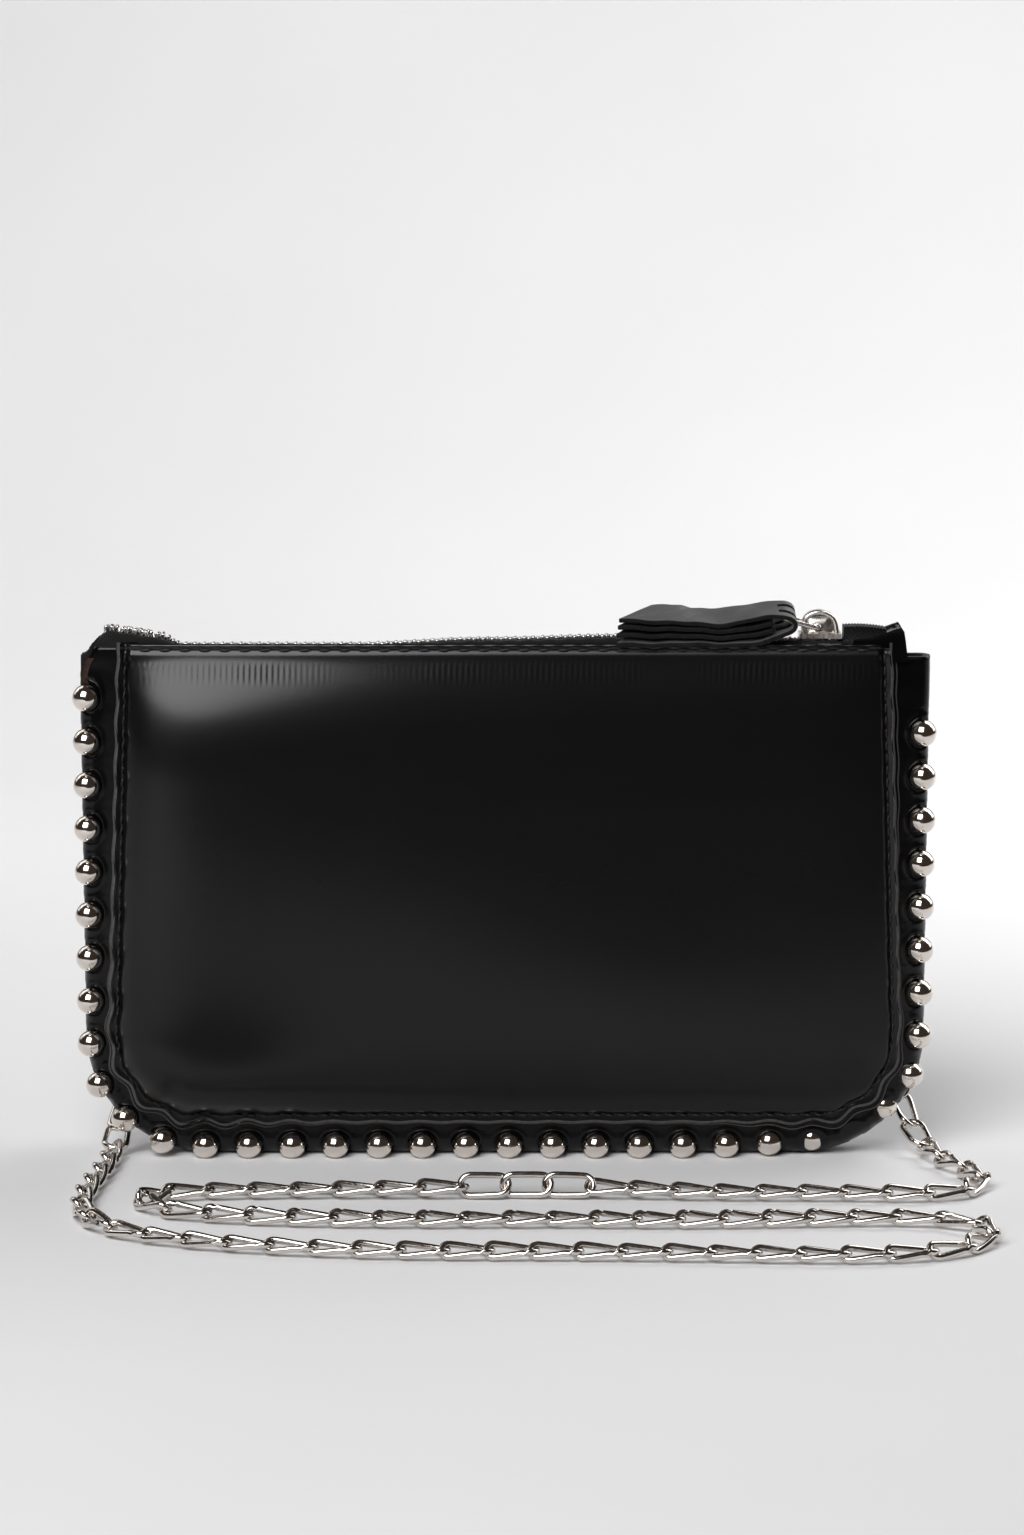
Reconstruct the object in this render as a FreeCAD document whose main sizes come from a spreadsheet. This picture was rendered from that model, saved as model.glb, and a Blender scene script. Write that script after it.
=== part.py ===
"""A zip-top patent-leather wallet with a studded gusset and a long loose chain.

Millimetres, +X to the right, -Y towards the viewer, +Z up. The origin is the centre of the
flat strip of the gusset that the wallet stands on.
"""

import FreeCAD, Part
import math
import os
import Sketcher
from FreeCAD import Placement, Rotation, Vector

SIZES = {
    # Shell
    "panel_top": 138.0,
    "panel_bottom": 10.0,
    "panel_half_top": 100.8,
    "panel_half_base": 105.3,
    "panel_corner": 23.0,
    "half_depth_base": 9.0,
    "half_depth_top": 5.0,
    "leather": 1.2,
    "board": 0.6,
    "lining": 0.4,
    "layer_gap": 0.1,
    "lining_inset": 7.8,
    "lining_base": 5.0,
    "lining_top": 114.0,
    "lining_corner": 18.0,
    "pocket_wall": 0.4,
    "pocket_slot": 0.9,
    "pocket_wide": 104.0,
    "pocket_high": 62.0,
    "pocket_base": 32.0,
    "pocket_start": 2.6,
    "stitch_inset": 3.5,
    "thread_radius": 0.35,
    # Gusset: a channel whose crest is the widest line of the wallet
    "crest_half": 111.5,
    "crest_corner": 33.0,
    "gusset_top": 134.0,
    "gusset_arm": 13.0,
    "channel_half_base": 6.9,
    "channel_half_top": 3.74,
    "crest_flat_base": 2.4,
    "crest_flat_top": 0.7,
    # Studs
    "stud_radius": 3.15,
    "stud_rise": 1.0,
    "stud_side": 109.6,
    "stud_low": 3.25,
    "stud_corner": 26.5,
    "stud_start": 123.3,
    "stud_end": 114.0,
    "post_radius": 0.8,
    "post_depth": 2.6,
    "washer_radius": 2.0,
    "washer_top": 1.9,
    # Zipper
    "tape_left": -98.0,
    "tape_right": 98.0,
    "tape_level": 137.2,
    "tape_outer": 3.6,
    "tape_inner": 1.5,
    "tape_foot": 125.0,
    "tape": 0.6,
    "tooth_pitch": 2.4,
    "tooth_long": 1.05,
    "tooth_reach": 0.7,
    "tooth_heel": 2.2,
    "tooth_high": 2.4,
    "teeth_left": -96.8,
    "teeth_right": 84.4,
    "stop_long": 2.2,
    "stop_gap": 0.8,
    "stop_wide": 4.4,
    "top_stop_long": 1.8,
    "top_stop_gap": 0.3,
    "top_stop_outer": 2.3,
    "top_stop_wide": 1.2,
    "end_wide": 6.6,
    "end_round": 1.2,
    "end_left": -109.0,
    "end_left_long": 8.6,
    "end_left_base": 134.3,
    "end_left_high": 4.7,
    "end_right": 91.5,
    "end_right_long": 13.5,
    "end_right_base": 137.7,
    "end_right_high": 3.6,
    # Slider and puller
    "slider_left": 77.0,
    "slider_long": 11.0,
    "slider_half": 4.1,
    "plate": 1.2,
    "plate_under": 138.8,
    "plate_low": 134.4,
    "low_plate_half": 2.6,
    "post_half": 0.85,
    "post_back": 2.6,
    "post_front": 0.6,
    "bail_left": 79.0,
    "bail_long": 7.0,
    "bail_high": 3.6,
    "bail_thick": 1.1,
    "bail_wide": 2.0,
    "bail_bevel": 1.2,
    "bail_pivot_in": 3.0,
    "bail_pivot_up": 1.3,
    "ring_wire": 0.65,
    "ring_half": 2.9,
    "ring_bend": 1.5,
    "ring_long": 10.3,
    "ring_tilt": 16.0,
    "tab_long": 45.0,
    "tab_wide": 15.0,
    "tab_neck": 3.4,
    "tab_neck_long": 6.0,
    "tab_slot": 1.15,
    "tab_layer": 1.3,
    "tab_drop": 2.5,
    "tab_roll": 8.0,
    "tab_fold": 0.9,
    # D-rings and the chain
    "d_ring_side": 92.0,
    "d_ring_level": 117.5,
    "d_ring_back": 9.6,
    "d_ring_radius": 5.6,
    "d_ring_wire": 0.9,
    "loop_slot": 1.1,
    "loop_layer": 1.2,
    "loop_wide": 8.0,
    "loop_top": 134.0,
    "loop_waist": 124.5,
    "loop_seat": 5.8,
    "jump_radius": 2.7,
    "jump_wire": 0.7,
    "chain_radius": 1.7,
}

# The chain's route, from the left jump ring down behind the wallet, out on the floor in three
# rows and up to the right jump ring.
LEFT_FALL = [
    (-92.0, 9.6, 107.2),
    (-92.3, 10.4, 86.0),
    (-94.0, 13.0, 59.0),
    (-97.8, 15.8, 33.0),
    (-101.0, 16.6, 15.0),
]
FLOOR_RUN = [
    (-101.0, 16.6, 15.0),
    (-102.4, 15.4, 6.4),
    (-103.8, 6.5, 1.75),
    (-103.7, -8.0, 1.75),
    (-104.9, -26.0, 1.75),
    (-107.6, -46.0, 1.75),
    (-108.2, -64.0, 1.75),
    (-102.0, -79.0, 1.75),
    (-86.0, -89.0, 1.75),
    (-60.0, -96.5, 1.75),
    (-25.0, -100.8, 1.75),
    (12.0, -101.0, 1.75),
    (48.0, -102.2, 1.75),
    (82.0, -104.4, 1.75),
    (104.0, -102.6, 1.75),
    (117.5, -95.5, 1.75),
    (122.6, -84.5, 1.75),
    (117.0, -74.5, 1.75),
    (102.0, -71.6, 1.75),
    (78.0, -72.6, 1.75),
    (46.0, -74.4, 1.75),
    (12.0, -73.2, 1.75),
    (-22.0, -73.8, 1.75),
    (-52.0, -72.6, 1.75),
    (-73.0, -69.2, 1.75),
    (-86.0, -65.2, 1.75),
    (-92.2, -60.9, 1.75),
    (-92.8, -53.4, 1.75),
    (-86.8, -48.8, 1.75),
    (-73.0, -47.8, 1.75),
    (-47.0, -46.8, 1.75),
    (-14.0, -47.6, 1.75),
    (20.0, -46.6, 1.75),
    (53.0, -49.4, 1.75),
    (85.0, -49.6, 1.75),
    (107.0, -51.0, 1.75),
    (120.0, -48.2, 1.75),
    (125.0, -39.5, 1.75),
    (121.6, -30.0, 1.75),
    (114.5, -19.5, 1.75),
    (110.8, -5.5, 1.75),
    (109.4, 8.0, 2.6),
    (107.2, 15.6, 9.0),
    (104.6, 17.0, 20.0),
]
RIGHT_FALL = [
    (104.6, 17.0, 20.0),
    (99.8, 16.0, 37.0),
    (94.6, 13.2, 60.0),
    (92.3, 10.4, 86.0),
    (92.0, 9.6, 107.2),
]

FRONT, BACK = -1, 1
document = FreeCAD.newDocument("ChainWallet")


class Size:
    """A number together with the spreadsheet expression that gives it."""

    def __init__(self, value, text=None):
        self.value = float(value)
        self.text = text or repr(float(value))

    def __add__(self, other):
        other = other if isinstance(other, Size) else Size(other)
        return Size(self.value + other.value, f"({self.text} + {other.text})")

    def __sub__(self, other):
        other = other if isinstance(other, Size) else Size(other)
        return Size(self.value - other.value, f"({self.text} - {other.text})")

    def __mul__(self, factor):
        return Size(self.value * factor, f"({self.text} * {float(factor)!r})")

    def __neg__(self):
        return self * -1


def make_sheet():
    """Writes every driving dimension to the spreadsheet, under its own name."""
    sheet = document.addObject("Spreadsheet::Sheet", "Sizes")
    for row, (name, value) in enumerate(SIZES.items(), start=1):
        sheet.set(f"A{row}", name)
        sheet.set(f"B{row}", str(value))
        sheet.setAlias(f"B{row}", name)
    document.recompute()
    return {name: Size(sheet.get(name), f"Sizes.{name}") for name in SIZES}


size = make_sheet()


def number(name):
    """The value of one driving dimension."""
    return size[name].value


def bind(item, property_name, amount):
    """Binds a property to the spreadsheet."""
    item.setExpression(property_name, amount.text)


# ---- Building blocks -------------------------------------------------------------------------


def new_body(name):
    body = document.addObject("PartDesign::Body", name)
    body.Label = name
    return body


def new_sketch(body, plane_role, offset=Vector(0, 0, 0)):
    """A sketch on one of the body's own origin planes, moved by offset in that plane's axes."""
    plane = next(item for item in body.Origin.OriginFeatures if item.Role == plane_role)
    sketch = body.newObject("Sketcher::SketchObject", f"{body.Name}_sketch")
    sketch.AttachmentSupport = [(plane, "")]
    sketch.MapMode = "FlatFace"
    sketch.AttachmentOffset = Placement(offset, Rotation())
    return sketch


def draw_outline(sketch, corners):
    """Draws a closed outline of (x, y, bend) corners. Each is tied to the sheet.

    bend is None where a straight line goes on to the next corner, and otherwise the arc's
    (centre x, centre y, radius, turn), turn being 1 anticlockwise and -1 clockwise.
    """
    count, first_edge = len(corners), sketch.GeometryCount
    ends = []
    for index, (x, y, bend) in enumerate(corners):
        next_x, next_y, _ = corners[(index + 1) % count]
        start = Vector(x.value, y.value, 0)
        end = Vector(next_x.value, next_y.value, 0)
        if bend is None:
            sketch.addGeometry(Part.LineSegment(start, end))
            ends.append((1, 2))
            continue
        centre_x, centre_y, radius, turn = bend
        centre = Vector(centre_x.value, centre_y.value, 0)
        circle = Part.Circle(centre, Vector(0, 0, 1), radius.value)
        first, last = (start, end) if turn > 0 else (end, start)
        angles = [math.atan2(p.y - centre.y, p.x - centre.x) for p in (first, last)]
        if angles[1] < angles[0]:
            angles[1] += 2 * math.pi
        arc = sketch.addGeometry(Part.ArcOfCircle(circle, *angles))
        upright = abs(end.y - start.y) > abs(end.x - start.x)
        tie = ("DistanceX", centre_x) if upright else ("DistanceY", centre_y)
        tie_point(sketch, arc, 3, *tie)
        ends.append((1, 2) if turn > 0 else (2, 1))
    for index, (x, y, _) in enumerate(corners):
        before = (index - 1) % count
        point = ends[index][0]
        edge = first_edge + index
        join = (first_edge + before, ends[before][1], edge, point)
        sketch.addConstraint(Sketcher.Constraint("Coincident", *join))
        tie_point(sketch, edge, point, "DistanceX", x)
        tie_point(sketch, edge, point, "DistanceY", y)


def tie_point(sketch, geometry, point, direction, amount):
    """Holds one coordinate of a sketch point at an amount from the sheet."""
    row = sketch.addConstraint(
        Sketcher.Constraint(direction, -1, 1, geometry, point, amount.value)
    )
    sketch.setExpression(f"Constraints[{row}]", amount.text)


def polygon(points):
    """Corners of an outline with straight sides only."""
    return [(x, y, None) for x, y in points]


def add_pad(body, sketch, length, reversed_side=False, middle=False):
    pad = body.newObject("PartDesign::Pad", f"{body.Name}_pad")
    pad.Profile = sketch
    bind(pad, "Length", length)
    pad.Reversed = reversed_side
    if middle:
        pad.SideType = "Symmetric"
    return pad


def add_pocket(body, sketch, depth, middle=False):
    pocket = body.newObject("PartDesign::Pocket", f"{body.Name}_pocket")
    pocket.Profile = sketch
    bind(pocket, "Length", depth)
    if middle:
        pocket.SideType = "Symmetric"
    return pocket


def round_edges(body, base, radius, wanted):
    """Fillets the edges of base whose middle point is wanted."""
    document.recompute()
    names = [
        f"Edge{index}"
        for index, edge in enumerate(base.Shape.Edges, start=1)
        if wanted(edge.CenterOfMass)
    ]
    fillet = body.newObject("PartDesign::Fillet", f"{body.Name}_fillet")
    fillet.Base = (base, names)
    bind(fillet, "Radius", radius)
    return fillet


def feature(name, shapes, placement=Placement()):
    """A sub-part whose shape comes from solids already made from the sheet's sizes."""
    item = document.addObject("Part::Feature", name)
    item.Label = name
    item.Shape = shapes[0] if len(shapes) == 1 else Part.makeCompound(shapes)
    item.Placement = placement
    return item


def primitive(kind, name, sizes, placement):
    item = document.addObject(f"Part::{kind}", name)
    for property_name, amount in sizes.items():
        bind(item, property_name, amount)
    item.Placement = placement
    return item


def rod(path, radius):
    """A round rod along a wire of tangent runs and arcs."""
    start = path.Edges[0].valueAt(path.Edges[0].FirstParameter)
    direction = path.Edges[0].tangentAt(path.Edges[0].FirstParameter)
    circle = Part.Wire([Part.makeCircle(radius, start, direction)])
    pipe = path.makePipeShell([circle], True, True)
    return pipe if isinstance(pipe, Part.Solid) else Part.Solid(pipe)


def rounded_path(points, label, share=0.45):
    """Straight runs through the points, joined by the largest tangent arcs they allow."""
    points = [Vector(*point) for point in points]
    edges, radii = [], []
    here = points[0]
    for before, corner, after in zip(points, points[1:], points[2:]):
        back, ahead = before - corner, after - corner
        half_turn = (math.pi - back.getAngle(ahead)) / 2
        reach = share * min(back.Length, ahead.Length)
        radii.append(reach / math.tan(half_turn))
        back.normalize()
        ahead.normalize()
        enter, leave = corner + back * reach, corner + ahead * reach
        inward = (back + ahead).normalize()
        rise = radii[-1] * (1 / math.cos(half_turn) - 1)
        middle = corner + inward * rise
        edges.append(Part.LineSegment(here, enter).toShape())
        edges.append(Part.Arc(enter, middle, leave).toShape())
        here = leave
    edges.append(Part.LineSegment(here, points[-1]).toShape())
    print(label, "bend radii", [round(radius, 1) for radius in radii])
    return Part.Wire(edges)


def lean(side):
    """The placement of everything that lies against one panel, measured from its outer face."""
    rise = number("panel_top") - number("panel_bottom")
    angle = math.degrees(
        math.atan((number("half_depth_base") - number("half_depth_top")) / rise)
    )
    turn = Rotation(Vector(1, 0, 0), -angle)
    if side == BACK:
        turn = Rotation(Vector(0, 0, 1), 180).multiply(turn)
    return Placement(
        Vector(0, side * number("half_depth_base"), number("panel_bottom")), turn
    )


# ---- Shell -----------------------------------------------------------------------------------


def make_layer(name, side, start, thickness, inset=None):
    """One sheet of a panel: the outer leather, or with an inset a board or a lining."""
    body = new_body(name)
    if inset is None:
        half_top, half_base = size["panel_half_top"], size["panel_half_base"]
        low, high = Size(0.0), size["panel_top"] - size["panel_bottom"]
        corner = size["panel_corner"]
    else:
        half_top = size["panel_half_top"] - inset
        half_base = size["panel_half_base"] - inset
        low, high = size["lining_base"], size["lining_top"]
        corner = size["lining_corner"]
    points = [(-half_base, low), (half_base, low), (half_top, high), (-half_top, high)]
    sketch = new_sketch(body, "XZ_Plane", Vector(0, 0, -start.value))
    bind(sketch, ".AttachmentOffset.Base.z", -start)
    draw_outline(sketch, polygon(points))
    pad = add_pad(body, sketch, thickness, reversed_side=True)
    floor = low.value + 1e-3
    middle = start.value + thickness.value / 2
    round_edges(
        body,
        pad,
        corner,
        lambda point: point.z < floor and abs(point.y - middle) < 0.01 and abs(point.x) > 1,
    )
    body.Placement = lean(side)
    return body


def make_panels():
    board_start = size["leather"] + size["layer_gap"]
    lining_start = board_start + size["board"] + size["layer_gap"]
    for side, word in ((FRONT, "front"), (BACK, "back")):
        make_layer(f"{word}_panel", side, Size(0.0), size["leather"])
        make_layer(f"{word}_stiffener", side, board_start, size["board"], size["lining_inset"])
        make_layer(f"{word}_lining", side, lining_start, size["lining"], size["lining_inset"])


def make_card_pocket():
    """A flat slip pocket sewn to the back lining, open at its top."""
    wall, slot = number("pocket_wall"), number("pocket_slot")
    width, height = number("pocket_wide"), number("pocket_high")
    start, base = number("pocket_start"), number("pocket_base")
    outer = Part.makeBox(width, 2 * wall + slot, height, Vector(-width / 2, start, base))
    gap = Part.makeBox(
        width - 2 * wall, slot, height, Vector(-width / 2 + wall, start + wall, base + wall)
    )
    feature("card_pocket", [outer.cut(gap)], lean(BACK))


def channel_section(crest, turn, flat, half, thickness, arm, place):
    """The gusset's section: a flat crest, two round shoulders and two straight arms.

    place turns (distance inwards from the crest line, y) into the sketch's own axes, and turn
    is -1 where that makes the outline run clockwise.
    """
    shoulder = half - flat
    inner_shoulder = shoulder - thickness
    bend = crest + shoulder
    edge = crest + arm

    def corner(inward, across, arc=None):
        x, y = place(inward, across)
        if arc is None:
            return (x, y, None)
        centre_across, radius, direction = arc
        centre_x, centre_y = place(bend, centre_across)
        return (x, y, (centre_x, centre_y, radius, direction * turn))

    inner_half = half - thickness
    return [
        corner(edge, half),
        corner(bend, half, (flat, shoulder, 1)),
        corner(crest, flat),
        corner(crest, -flat, (-flat, shoulder, 1)),
        corner(bend, -half),
        corner(edge, -half),
        corner(edge, -inner_half),
        corner(bend, -inner_half, (-flat, inner_shoulder, -1)),
        corner(crest + thickness, -flat),
        corner(crest + thickness, flat, (flat, inner_shoulder, -1)),
        corner(bend, inner_half),
        corner(edge, inner_half),
    ]


def make_channel(name, crest, thickness, arm):
    """One U-shaped layer of the gusset: a straight base, two round corners and two sides."""
    body = new_body(name)
    half_base = size["channel_half_base"] - crest
    half_top = size["channel_half_top"] - crest
    flats = (size["crest_flat_base"], size["crest_flat_top"])
    straight = size["crest_half"] - size["crest_corner"]
    corner = size["crest_corner"]

    def upright(inward, across):
        return across, inward

    def about_corner(inward, across):
        return across, inward - corner

    def level(inward, across):
        return inward - size["crest_half"], across

    base = new_sketch(body, "YZ_Plane", Vector(0, 0, -straight.value))
    bind(base, ".AttachmentOffset.Base.z", -straight)
    draw_outline(
        base, channel_section(crest, -1, flats[0], half_base, thickness, arm, upright)
    )
    add_pad(body, base, straight * 2)
    turned = new_sketch(body, "YZ_Plane", Vector(0, corner.value, -straight.value))
    bind(turned, ".AttachmentOffset.Base.y", corner)
    bind(turned, ".AttachmentOffset.Base.z", -straight)
    draw_outline(
        turned, channel_section(crest, -1, flats[0], half_base, thickness, arm, about_corner)
    )
    bend = body.newObject("PartDesign::Revolution", f"{name}_bend")
    bend.Profile = turned
    bend.ReferenceAxis = (turned, ["H_Axis"])
    bend.Angle = 90.0
    low = new_sketch(body, "XY_Plane", Vector(0, 0, corner.value))
    bind(low, ".AttachmentOffset.Base.z", corner)
    draw_outline(
        low, channel_section(crest, 1, flats[0], half_base, thickness, arm, level)
    )
    high = new_sketch(body, "XY_Plane", Vector(0, 0, number("gusset_top")))
    bind(high, ".AttachmentOffset.Base.z", size["gusset_top"])
    draw_outline(
        high, channel_section(crest, 1, flats[1], half_top, thickness, arm, level)
    )
    riser = body.newObject("PartDesign::AdditiveLoft", f"{name}_riser")
    riser.Profile = low
    riser.Sections = [high]
    riser.Ruled = True
    mirrored = body.newObject("PartDesign::Mirrored", f"{name}_mirrored")
    mirrored.Originals = [bend, riser]
    plane = next(item for item in body.Origin.OriginFeatures if item.Role == "YZ_Plane")
    mirrored.MirrorPlane = (plane, [""])
    body.Tip = mirrored
    return body


def make_gusset():
    make_channel("gusset_band", Size(0.0), size["leather"], size["gusset_arm"])
    inner_crest = size["leather"] + size["layer_gap"]
    make_channel("gusset_lining", inner_crest, size["lining"], size["gusset_arm"] - inner_crest)


# ---- Studs and threads -----------------------------------------------------------------------


def u_path(half, top_left, top_right, base, corner):
    """A U in the XZ plane: down the left side, round two corners and up the right side."""
    left, right, level = -half, half, base + corner
    low = corner * (1 - math.sqrt(0.5))
    edges = [
        Part.LineSegment(Vector(left, 0, top_left), Vector(left, 0, level)),
        Part.Arc(
            Vector(left, 0, level),
            Vector(left + low, 0, base + low),
            Vector(left + corner, 0, base),
        ),
        Part.LineSegment(Vector(left + corner, 0, base), Vector(right - corner, 0, base)),
        Part.Arc(
            Vector(right - corner, 0, base),
            Vector(right - low, 0, base + low),
            Vector(right, 0, level),
        ),
        Part.LineSegment(Vector(right, 0, level), Vector(right, 0, top_right)),
    ]
    return Part.Wire([edge.toShape() for edge in edges])


def outward_at(point):
    """(direction away from the wallet, distance inside the crest line) at a point in XZ."""
    corner, half = number("crest_corner"), number("crest_half")
    across = abs(point.x) - (half - corner)
    below = corner - point.z
    sign = math.copysign(1, point.x)
    if across > 0 and below > 0:
        reach = math.hypot(across, below)
        return Vector(sign * across / reach, 0, -below / reach), corner - reach
    if below > 0:
        return Vector(0, 0, -1), point.z
    return Vector(sign, 0, 0), half - abs(point.x)


def stud_places(count=38):
    """(point on the leather, outward direction) of each stud along the gusset's front shoulder."""
    path = u_path(
        number("stud_side"),
        number("stud_start"),
        number("stud_end"),
        number("stud_low"),
        number("stud_corner"),
    )
    low, high = number("crest_corner"), number("gusset_top")
    places = []
    for point in path.discretize(Number=count):
        away, inside = outward_at(point)
        share = max(0.0, (point.z - low) / (high - low))
        flat = blend("crest_flat", share)
        shoulder = blend("channel_half", share) - flat
        seat = shoulder + number("stud_rise")
        cosine = max(-1.0, min(1.0, (shoulder - inside) / seat))
        sine = math.sqrt(1 - cosine * cosine)
        normal = away * cosine + Vector(0, -sine, 0)
        centre = Vector(point.x, -(flat + seat * sine), point.z)
        places.append((centre - normal * number("stud_rise"), normal))
    return places


def blend(name, share):
    """A gusset width between its base and its top."""
    return number(f"{name}_base") * (1 - share) + number(f"{name}_top") * share


def make_studs():
    """Round-headed studs with a post through the leather, and the washers that hold them."""
    heads, washers = [], []
    radius, rise = number("stud_radius"), number("stud_rise")
    cut = -math.degrees(math.asin(rise / radius))
    depth = number("post_depth")
    washer_top = number("washer_top")
    for seat, normal in stud_places():
        ball = Part.makeSphere(radius, seat + normal * rise, normal, cut, 90, 360)
        post = Part.makeCylinder(number("post_radius"), depth + 0.5, seat - normal * depth, normal)
        heads.append(ball.fuse(post).removeSplitter().Solids[0])
        foot = seat - normal * (depth - 0.1)
        washers.append(
            Part.makeCylinder(number("washer_radius"), depth - 0.1 - washer_top, foot, normal)
        )
    feature("ball_studs", heads)
    feature("stud_backs", washers)


def make_threads():
    """The seam round each panel's edge and the row along its top, as plain threads."""
    radius, inset = number("thread_radius"), number("stitch_inset")
    half = number("panel_half_top") - inset
    rise = number("panel_top") - number("panel_bottom")
    seam = u_path(half, rise - inset, rise - inset, inset, number("panel_corner") - inset)
    seam.translate(Vector(0, -radius, 0))
    top = Part.makeCylinder(
        radius, 2 * half - 2, Vector(1 - half, -radius, rise - inset), Vector(1, 0, 0)
    )
    for side, word in ((FRONT, "front"), (BACK, "back")):
        feature(f"{word}_seam_thread", [rod(seam, radius)], lean(side))
        feature(f"{word}_top_thread", [top.copy()], lean(side))


# ---- Zipper ----------------------------------------------------------------------------------


def make_tape(side, word):
    """A tape that lies flat beside the teeth and turns down behind the panel."""
    body = new_body(f"zipper_tape_{word}")
    outer, inner = size["tape_outer"], size["tape_inner"]
    thick, level, foot = size["tape"], size["tape_level"], size["tape_foot"]
    top = level + thick * 0.5
    under = level - thick * 0.5
    points = [
        (outer, foot),
        (outer, top),
        (inner, top),
        (inner, under),
        (outer - thick, under),
        (outer - thick, foot),
    ]
    sketch = new_sketch(body, "YZ_Plane", Vector(0, 0, number("tape_left")))
    bind(sketch, ".AttachmentOffset.Base.z", size["tape_left"])
    draw_outline(sketch, polygon([(across * side, height) for across, height in points]))
    add_pad(body, sketch, size["tape_right"] - size["tape_left"])


def make_teeth(side, word, shift):
    """One row of teeth, clamped on the edge of its tape."""
    pitch, long, high = number("tooth_pitch"), number("tooth_long"), number("tooth_high")
    reach, heel = number("tooth_reach"), number("tooth_heel")
    start, end = number("teeth_left") + shift, number("teeth_right")
    count = int((end - start - long) / pitch) + 1
    near = -reach if side == BACK else -heel
    low = number("tape_level") - high / 2
    teeth = [
        Part.makeBox(long, reach + heel, high, Vector(start + index * pitch, near, low))
        for index in range(count)
    ]
    feature(f"zipper_teeth_{word}", teeth)


def make_zipper():
    pitch = number("tooth_pitch")
    for side, word, shift in ((FRONT, "front", 0.0), (BACK, "back", pitch / 2)):
        make_tape(side, word)
        make_teeth(side, word, shift)
    low = number("tape_level") - number("tooth_high") / 2
    high = number("tooth_high")
    long, wide = number("stop_long"), number("stop_wide")
    left = number("teeth_left") - number("stop_gap") - long
    stop = Part.makeBox(long, wide, high, Vector(left, -wide / 2, low))
    feature("zipper_bottom_stop", [stop])
    long, wide = number("top_stop_long"), number("top_stop_wide")
    left = number("teeth_right") + number("top_stop_gap")
    outer = number("top_stop_outer")
    stops = [
        Part.makeBox(long, wide, high, Vector(left, near, low)) for near in (-outer, outer - wide)
    ]
    feature("zipper_top_stops", stops)
    make_zipper_end("zipper_end_left", "end_left")
    make_zipper_end("zipper_end_right", "end_right")


def make_zipper_end(name, sizes):
    """The folded end of the tapes, rounded along its top."""
    wide, base, tall = number("end_wide"), number(f"{sizes}_base"), number(f"{sizes}_high")
    corner = Vector(number(sizes), -wide / 2, base)
    block = Part.makeBox(number(f"{sizes}_long"), wide, tall, corner)
    upper = [edge for edge in block.Edges if edge.CenterOfMass.z > base + tall - 0.01]
    feature(name, [block.makeFillet(number("end_round"), upper)])


def make_slider():
    """A top plate and a bottom plate joined by the post that parts the teeth."""
    body = new_body("slider_body")
    left, long = size["slider_left"], size["slider_long"]
    right = left + long
    half, thick, under = size["slider_half"], size["plate"], size["plate_under"]

    def plate_outline(width):
        """Wider at the closing end, as the teeth part there."""
        narrow = width * 0.8
        waist = left + long * 0.45
        return polygon(
            [
                (left, -narrow),
                (waist, -narrow),
                (right, -width),
                (right, width),
                (waist, narrow),
                (left, narrow),
            ]
        )

    top = new_sketch(body, "XY_Plane", Vector(0, 0, under.value))
    bind(top, ".AttachmentOffset.Base.z", under)
    draw_outline(top, plate_outline(half))
    add_pad(body, top, thick)
    post = new_sketch(body, "XY_Plane", Vector(0, 0, number("plate_low")))
    bind(post, ".AttachmentOffset.Base.z", size["plate_low"])
    half_post = size["post_half"]
    post_left, post_right = right - size["post_back"], right - size["post_front"]
    corners = [
        (post_left, -half_post),
        (post_right, -half_post),
        (post_right, half_post),
        (post_left, half_post),
    ]
    draw_outline(post, polygon(corners))
    add_pad(body, post, under - size["plate_low"])
    bottom = new_sketch(body, "XY_Plane", Vector(0, 0, number("plate_low")))
    bind(bottom, ".AttachmentOffset.Base.z", size["plate_low"])
    draw_outline(bottom, plate_outline(size["low_plate_half"]))
    add_pad(body, bottom, thick)


def make_bail():
    """The arch on the slider that the pull ring hangs in."""
    body = new_body("slider_bail")
    left, right = size["bail_left"], size["bail_left"] + size["bail_long"]
    base = size["plate_under"] + size["plate"]
    top = base + size["bail_high"]
    thick, bevel = size["bail_thick"], size["bail_bevel"]
    inner_bevel = bevel * 0.5
    ceiling = top - thick
    points = [
        (left, base),
        (left, top - bevel),
        (left + bevel, top),
        (right - bevel, top),
        (right, top - bevel),
        (right, base),
        (right - thick, base),
        (right - thick, ceiling - inner_bevel),
        (right - thick - inner_bevel, ceiling),
        (left + thick + inner_bevel, ceiling),
        (left + thick, ceiling - inner_bevel),
        (left + thick, base),
    ]
    sketch = new_sketch(body, "XZ_Plane")
    draw_outline(sketch, polygon(points))
    add_pad(body, sketch, size["bail_wide"], middle=True)


def ring_pivot():
    """Centre of the pull ring's wire inside the bail."""
    base = number("plate_under") + number("plate")
    left = number("bail_left") + number("bail_pivot_in")
    return Vector(left, 0, base + number("bail_pivot_up"))


def ring_placement():
    """The ring's own axes: x along the ring towards the tab, z square to its plane."""
    turn = Rotation(Vector(0, 1, 0), 180 + number("ring_tilt"))
    return Placement(ring_pivot(), turn)


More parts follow.
